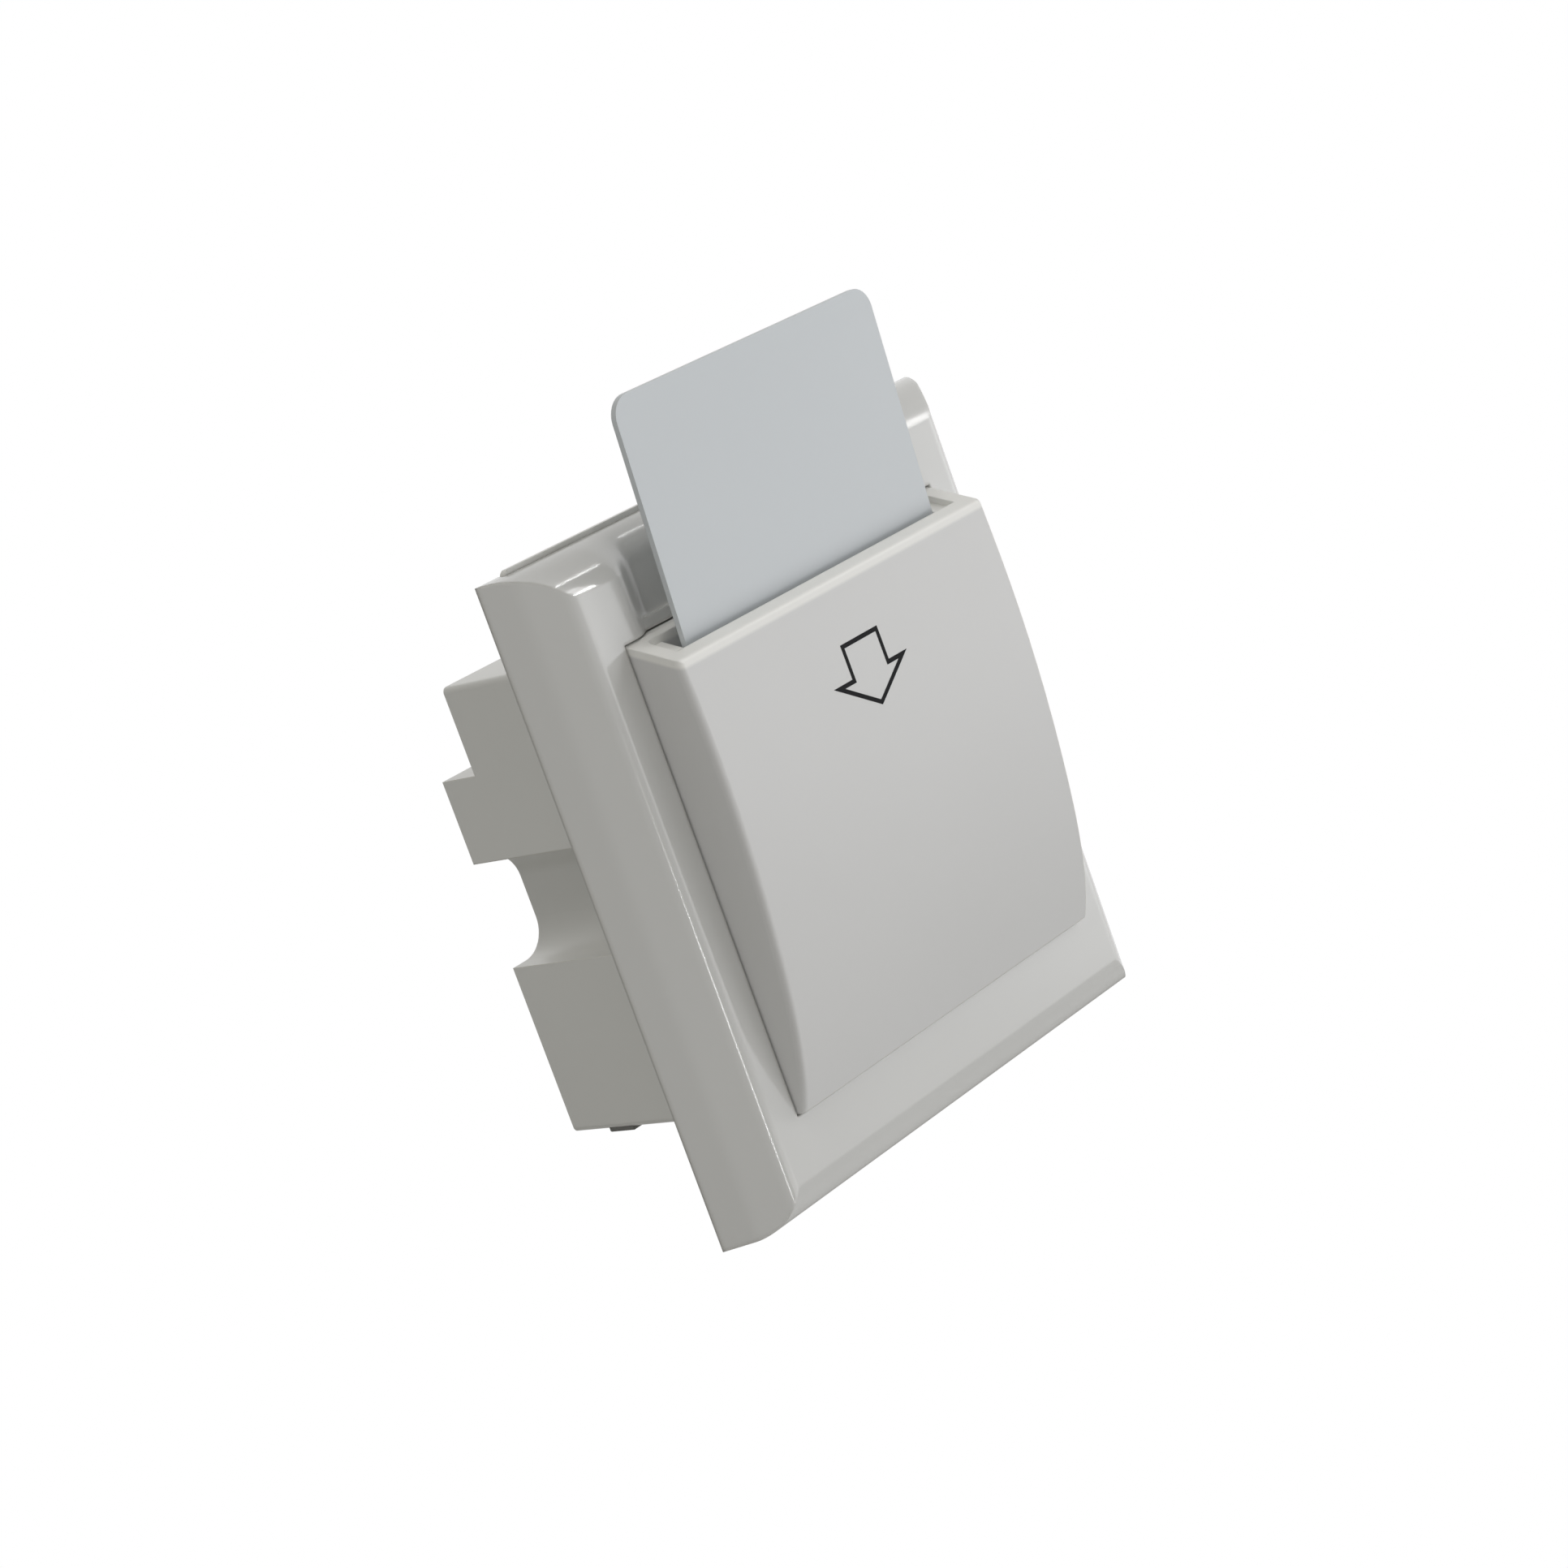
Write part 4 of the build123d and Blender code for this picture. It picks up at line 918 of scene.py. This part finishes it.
@dataclass
class CardPocket:
    """Slanted wedge cover that holds the card, with its printed arrow."""

    white: Colour = (0.72, 0.72, 0.72)
    # Lighter edge colour: wear, and a painted highlight along the rounded edges
    worn_and_lit_edge: Colour = (0.80, 0.77, 0.69)
    # Painted highlight on the top faces of the slot's walls and the top of the cover's front
    slot_top_painted_light: PaintedLitTop = PaintedLitTop(
        lean=-0.375, rise=0.927, level=31.6 * MM, colour=(0.93, 0.925, 0.90)
    )
    arrow: InsertArrow = field(default_factory=InsertArrow)
    shoulders: SlotShoulders = field(default_factory=SlotShoulders)

    def build(self) -> None:
        """Dress the cover, print the arrow on it and close its slot's ends."""
        cover = MouldedPlastic(
            "cover_white",
            self.white,
            edge_colour=self.worn_and_lit_edge,
            edge_radius=0.3 * MM,
            specks=0.6,
            painted_lit_top=self.slot_top_painted_light,
        )
        material = dress(cover, "card_cover")
        self.arrow.build()
        self.shoulders.build(material)


@dataclass
class CardChannel:
    """The card, the guide it slides in and the parts that it pushes."""

    card: Colour = (0.66, 0.695, 0.725)
    card_edge: Colour = (0.62, 0.62, 0.60)
    guide: Colour = (0.05, 0.05, 0.055)
    actuator: Colour = (0.035, 0.035, 0.04)

    def build(self) -> None:
        """Dress the card, its guide and springs, and the actuator."""
        laminate = MouldedPlastic(
            "card_laminate",
            self.card,
            edge_colour=self.card_edge,
            edge_radius=0.1 * MM,
            grain_scale=900.0,
            grain_height=0.02,
            drift=0.02,
            specks=1.0,
        )
        dress(laminate, "key_card")
        dress(MouldedPlastic("guide_black", self.guide), "card_guide")
        dress(MouldedPlastic("actuator_black", self.actuator, Gloss.GLOSSY), "card_actuator")
        dress(BareMetal("spring_strip", Metal.SPRING_STEEL), "leaf_springs", "return_spring")


@dataclass
class HousingFeet:
    """Small dark feet under the two side walls of the housing; their dark colour is also painted
    shade under the housing's bottom edge.
    """

    inner_x: float = 30.2 * MM
    outer_x: float = 34.2 * MM
    front_y: float = 20.6 * MM
    rear_y: float = 25.2 * MM
    top_z: float = -31.9 * MM
    bottom_z: float = -32.65 * MM
    edge: float = 0.2 * MM
    # Painted shade: the dark colour also stands in for the shade under the housing's bottom edge
    dark: Colour = (0.14, 0.14, 0.13)

    def build(self) -> None:
        """Model one foot, copy it to the other side and dress both."""
        material = MouldedPlastic("foot_painted_shade", self.dark, Gloss.MATT).make()
        foot = add_block(
            (self.inner_x, self.front_y, self.bottom_z), (self.outer_x, self.rear_y, self.top_z)
        )
        bpy.ops.object.mode_set(mode="EDIT")
        select_where(foot, MeshPart.EDGE, lambda middle: middle.z < self.bottom_z + NEAR)
        bpy.ops.mesh.bevel(offset=self.edge, segments=EDGE_STEPS, affect="EDGES")
        bpy.ops.object.mode_set(mode="OBJECT")
        move = -self.inner_x - self.outer_x
        settle_pair(foot, move, "housing_foot", material)


@dataclass
class RearHousing:
    """Stepped housing in the wall box, its feet and the screws of the whole switch."""

    white: Colour = (0.73, 0.73, 0.71)
    # Lighter edge colour: wear, and a painted highlight along the rounded edges
    worn_and_lit_edge: Colour = (0.80, 0.77, 0.69)
    feet: HousingFeet = field(default_factory=HousingFeet)

    def build(self) -> None:
        """Add the feet, and dress the housing and the screws."""
        self.feet.build()
        shell = MouldedPlastic(
            "housing_white",
            self.white,
            edge_colour=self.worn_and_lit_edge,
            edge_radius=0.3 * MM,
            grain_scale=1100.0,
            grain_height=0.06,
            drift=0.04,
            specks=0.4,
        )
        dress(shell, "rear_housing")
        screws = ("housing_screws", "guide_screws", "board_screws", "terminal_screws")
        dress(BareMetal("zinc_screw", Metal.ZINC), *screws)


@dataclass
class CircuitBoard:
    """Board with the relay, the supply parts and the snap-action switch."""

    finishes: tuple[tuple[Finish, tuple[str, ...]], ...] = (
        (BoardLaminate(), ("circuit_board",)),
        (MouldedPlastic("relay_case", (0.03, 0.10, 0.34)), ("relay",)),
        (MouldedPlastic("film_case", (0.42, 0.035, 0.02), Gloss.GLOSSY), ("film_capacitor",)),
        (
            MouldedPlastic("capacitor_sleeve", (0.02, 0.025, 0.05), Gloss.GLOSSY),
            ("electrolytic_capacitors",),
        ),
        (
            MouldedPlastic(
                "varistor_coat",
                (0.03, 0.09, 0.36),
                Gloss.MATT,
                edge_radius=0.3 * MM,
                grain_scale=500.0,
                grain_height=0.3,
            ),
            ("varistor",),
        ),
        (MouldedPlastic("rectifier_case", (0.018, 0.018, 0.02), Gloss.MATT), ("bridge_rectifier",)),
        (RingedBody(), ("resistors",)),
        (FuseGlass(), ("fuse",)),
        (BareMetal("plated_clip", Metal.BRASS), ("fuse_clips", "terminal_clamps", "switch_legs")),
        (MouldedPlastic("switch_case", (0.015, 0.015, 0.017)), ("switch_body",)),
        (MouldedPlastic("plunger_red", (0.38, 0.02, 0.015)), ("switch_plunger",)),
        (BareMetal("lever_strip", Metal.SPRING_STEEL), ("switch_lever",)),
        (MouldedPlastic("terminal_grey", (0.20, 0.22, 0.23)), ("terminal_block",)),
    )

    def build(self) -> None:
        """Dress the board and everything on it."""
        for finish, names in self.finishes:
            dress(finish, *names)


@dataclass(frozen=True)
class SoftBox:
    """Soft studio lamp that faces the object from one side."""

    name: str
    direction: Point
    size: tuple[float, float]
    level: float
    distance: float = 1.2
    tint: Colour = (1.0, 1.0, 1.0)

    def place(self, target: Vector) -> None:
        """Add the lamp.

        Args:
            target: The point that it faces.
        """
        nothing_selected()
        away = Vector(self.direction).normalized()
        bpy.ops.object.light_add(type="AREA", location=target + away * self.distance)
        lamp = bpy.context.object
        lamp.name = self.name
        lamp.rotation_euler = (-away).to_track_quat("-Z", "Y").to_euler()
        lamp.data.shape = "RECTANGLE"
        lamp.data.size, lamp.data.size_y = self.size
        lamp.data.energy = self.level * math.pi * self.size[0] * self.size[1]
        lamp.data.color = self.tint
        log.info("lamp %s placed", self.name)


@dataclass
class Studio:
    """Camera, lamps, floor and surroundings."""

    eye: Point = (-376.75 * MM, -357.04 * MM, 100.96 * MM)
    forward: Point = (0.70824, 0.68118, -0.18547)
    level_axis: Point = (0.69321, -0.72074, 0.0)
    roll: tuple[float, float] = (0.94023, -0.34054)
    lens: float = 89.559
    sensor: float = 36.0
    nearest: float = 10.0 * MM
    floor_z: float = -900.0 * MM
    floor_radius: float = 2.5
    floor_colour: Colour = (0.9, 0.9, 0.9)
    floor_roughness: float = 0.9
    shadow_reach: float = 200.0 * MM
    shadow_share: float = 0.14
    ambient: Colour = (0.263, 0.259, 0.24)
    lamps: tuple[SoftBox, ...] = (
        SoftBox("key_box", (0.75, -0.64, 0.04), (1.5, 0.8), level=1.1, tint=(0.955, 0.965, 1.0)),
        SoftBox("fill_box", (0.28, -0.84, -0.55), (0.7, 0.6), level=1.65),
        SoftBox("side_box", (-0.44, -0.2, 0.875), (0.6, 0.6), level=2.15, tint=(1.0, 0.985, 0.95)),
        SoftBox("back_box", (0.2, 0.95, 0.25), (0.8, 0.8), level=0.9),
        SoftBox("ridge_box", (-0.27, -0.94, -0.26), (0.02, 0.16), level=55.0),
        SoftBox("upper_strip_box", (0.635, -0.254, 0.711), (0.10, 0.06), level=24.0),
        SoftBox("lower_strip_box", (0.682, -0.499, 0.535), (0.20, 0.03), level=34.0),
        SoftBox("patch_box", (0.752, -0.46, 0.47), (0.12, 0.46), level=6.2),
    )

    def build(self) -> None:
        """Set the camera, lamps, floor and surroundings."""
        self.set_camera()
        for lamp in self.lamps:
            lamp.place(Vector((0.0, 0.0, 0.0)))
        self.lay_floor()
        self.light_world()
        bpy.context.scene.view_settings.view_transform = "Standard"

    def set_camera(self) -> None:
        """Put the camera where the view of the object is taken from."""
        nothing_selected()
        bpy.ops.object.camera_add(location=self.eye)
        camera = bpy.context.object
        camera.name = "camera"
        forward = Vector(self.forward).normalized()
        level = Vector(self.level_axis).normalized()
        upright = level.cross(forward)
        right = (level * self.roll[0] + upright * self.roll[1]).normalized()
        up = right.cross(forward)
        rows = [(*row, place) for row, place in zip(zip(right, up, -forward), self.eye)]
        camera.matrix_world = Matrix((*rows, (0.0, 0.0, 0.0, 1.0)))
        camera.data.sensor_width = self.sensor
        camera.data.sensor_fit = "HORIZONTAL"
        camera.data.lens = self.lens
        camera.data.clip_start = self.nearest
        bpy.context.scene.camera = camera

    def lay_floor(self) -> None:
        """Add the pale floor, which keeps the object's soft shadow."""
        nothing_selected()
        bpy.ops.mesh.primitive_circle_add(
            vertices=96,
            radius=self.floor_radius,
            fill_type="TRIFAN",
            location=(0.0, 0.0, self.floor_z),
        )
        floor = bpy.context.object
        floor.name = "floor"
        material, sheet, surface = blank_material("pale_floor")
        pale = {"Base Color": (*self.floor_colour, 1.0), "Roughness": self.floor_roughness}
        set_inputs(surface, pale)
        place = sheet.add("ShaderNodeTexCoord")
        length = sheet.add("ShaderNodeVectorMath", operation="LENGTH")
        sheet.join(place.outputs["Object"], length.inputs[0])
        reach = sheet.math("DIVIDE", length.outputs["Value"], self.shadow_reach)
        shade = sheet.math("SUBTRACT", 1.0, reach, clamp=True)
        shade = sheet.math("MULTIPLY", shade, self.shadow_share)
        path = sheet.add("ShaderNodeLightPath")
        white = sheet.math("SUBTRACT", 1.0, shade)
        white = sheet.math("MULTIPLY", path.outputs["Is Camera Ray"], white)
        glow = sheet.add("ShaderNodeEmission", {"Strength": 1.0})
        blend = sheet.add("ShaderNodeMixShader")
        sheet.join(white, blend.inputs["Fac"])
        sheet.join(surface.outputs["BSDF"], blend.inputs[1])
        sheet.join(glow.outputs["Emission"], blend.inputs[2])
        output = material.node_tree.nodes["Material Output"]
        sheet.join(blend.outputs["Shader"], output.inputs["Surface"])
        floor.data.materials.append(material)

    def light_world(self) -> None:
        """Even light from all around, white where the camera or a gloss looks at it."""
        world = bpy.data.worlds.new("studio")
        bpy.context.scene.world = world
        world.use_nodes = True
        sheet = NodeSheet(world.node_tree)
        level = world.node_tree.nodes["Background"]
        set_inputs(level, {"Color": (*self.ambient, 1.0)})
        clear = {"Color": (1.0, 1.0, 1.0, 1.0), "Strength": 1.0}
        white = sheet.add("ShaderNodeBackground", clear)
        path = sheet.add("ShaderNodeLightPath")
        seen = sheet.math("MAXIMUM", path.outputs["Is Camera Ray"], path.outputs["Is Glossy Ray"])
        seen = sheet.math("MAXIMUM", seen, path.outputs["Is Transmission Ray"])
        blend = sheet.add("ShaderNodeMixShader")
        sheet.join(seen, blend.inputs["Fac"])
        sheet.join(level.outputs["Background"], blend.inputs[1])
        sheet.join(white.outputs["Background"], blend.inputs[2])
        output = world.node_tree.nodes["World Output"]
        sheet.join(blend.outputs["Shader"], output.inputs["Surface"])


def main() -> None:
    """Build every sub-assembly and the studio."""
    logging.basicConfig(level=logging.INFO, format="%(name)s: %(message)s")
    assemblies = (
        Studio(),
        FacePlate(),
        CardPocket(),
        CardChannel(),
        RearHousing(),
        CircuitBoard(),
    )
    for assembly in assemblies:
        log.info("building %s", type(assembly).__name__)
        assembly.build()


if __name__ == "__main__":
    main()
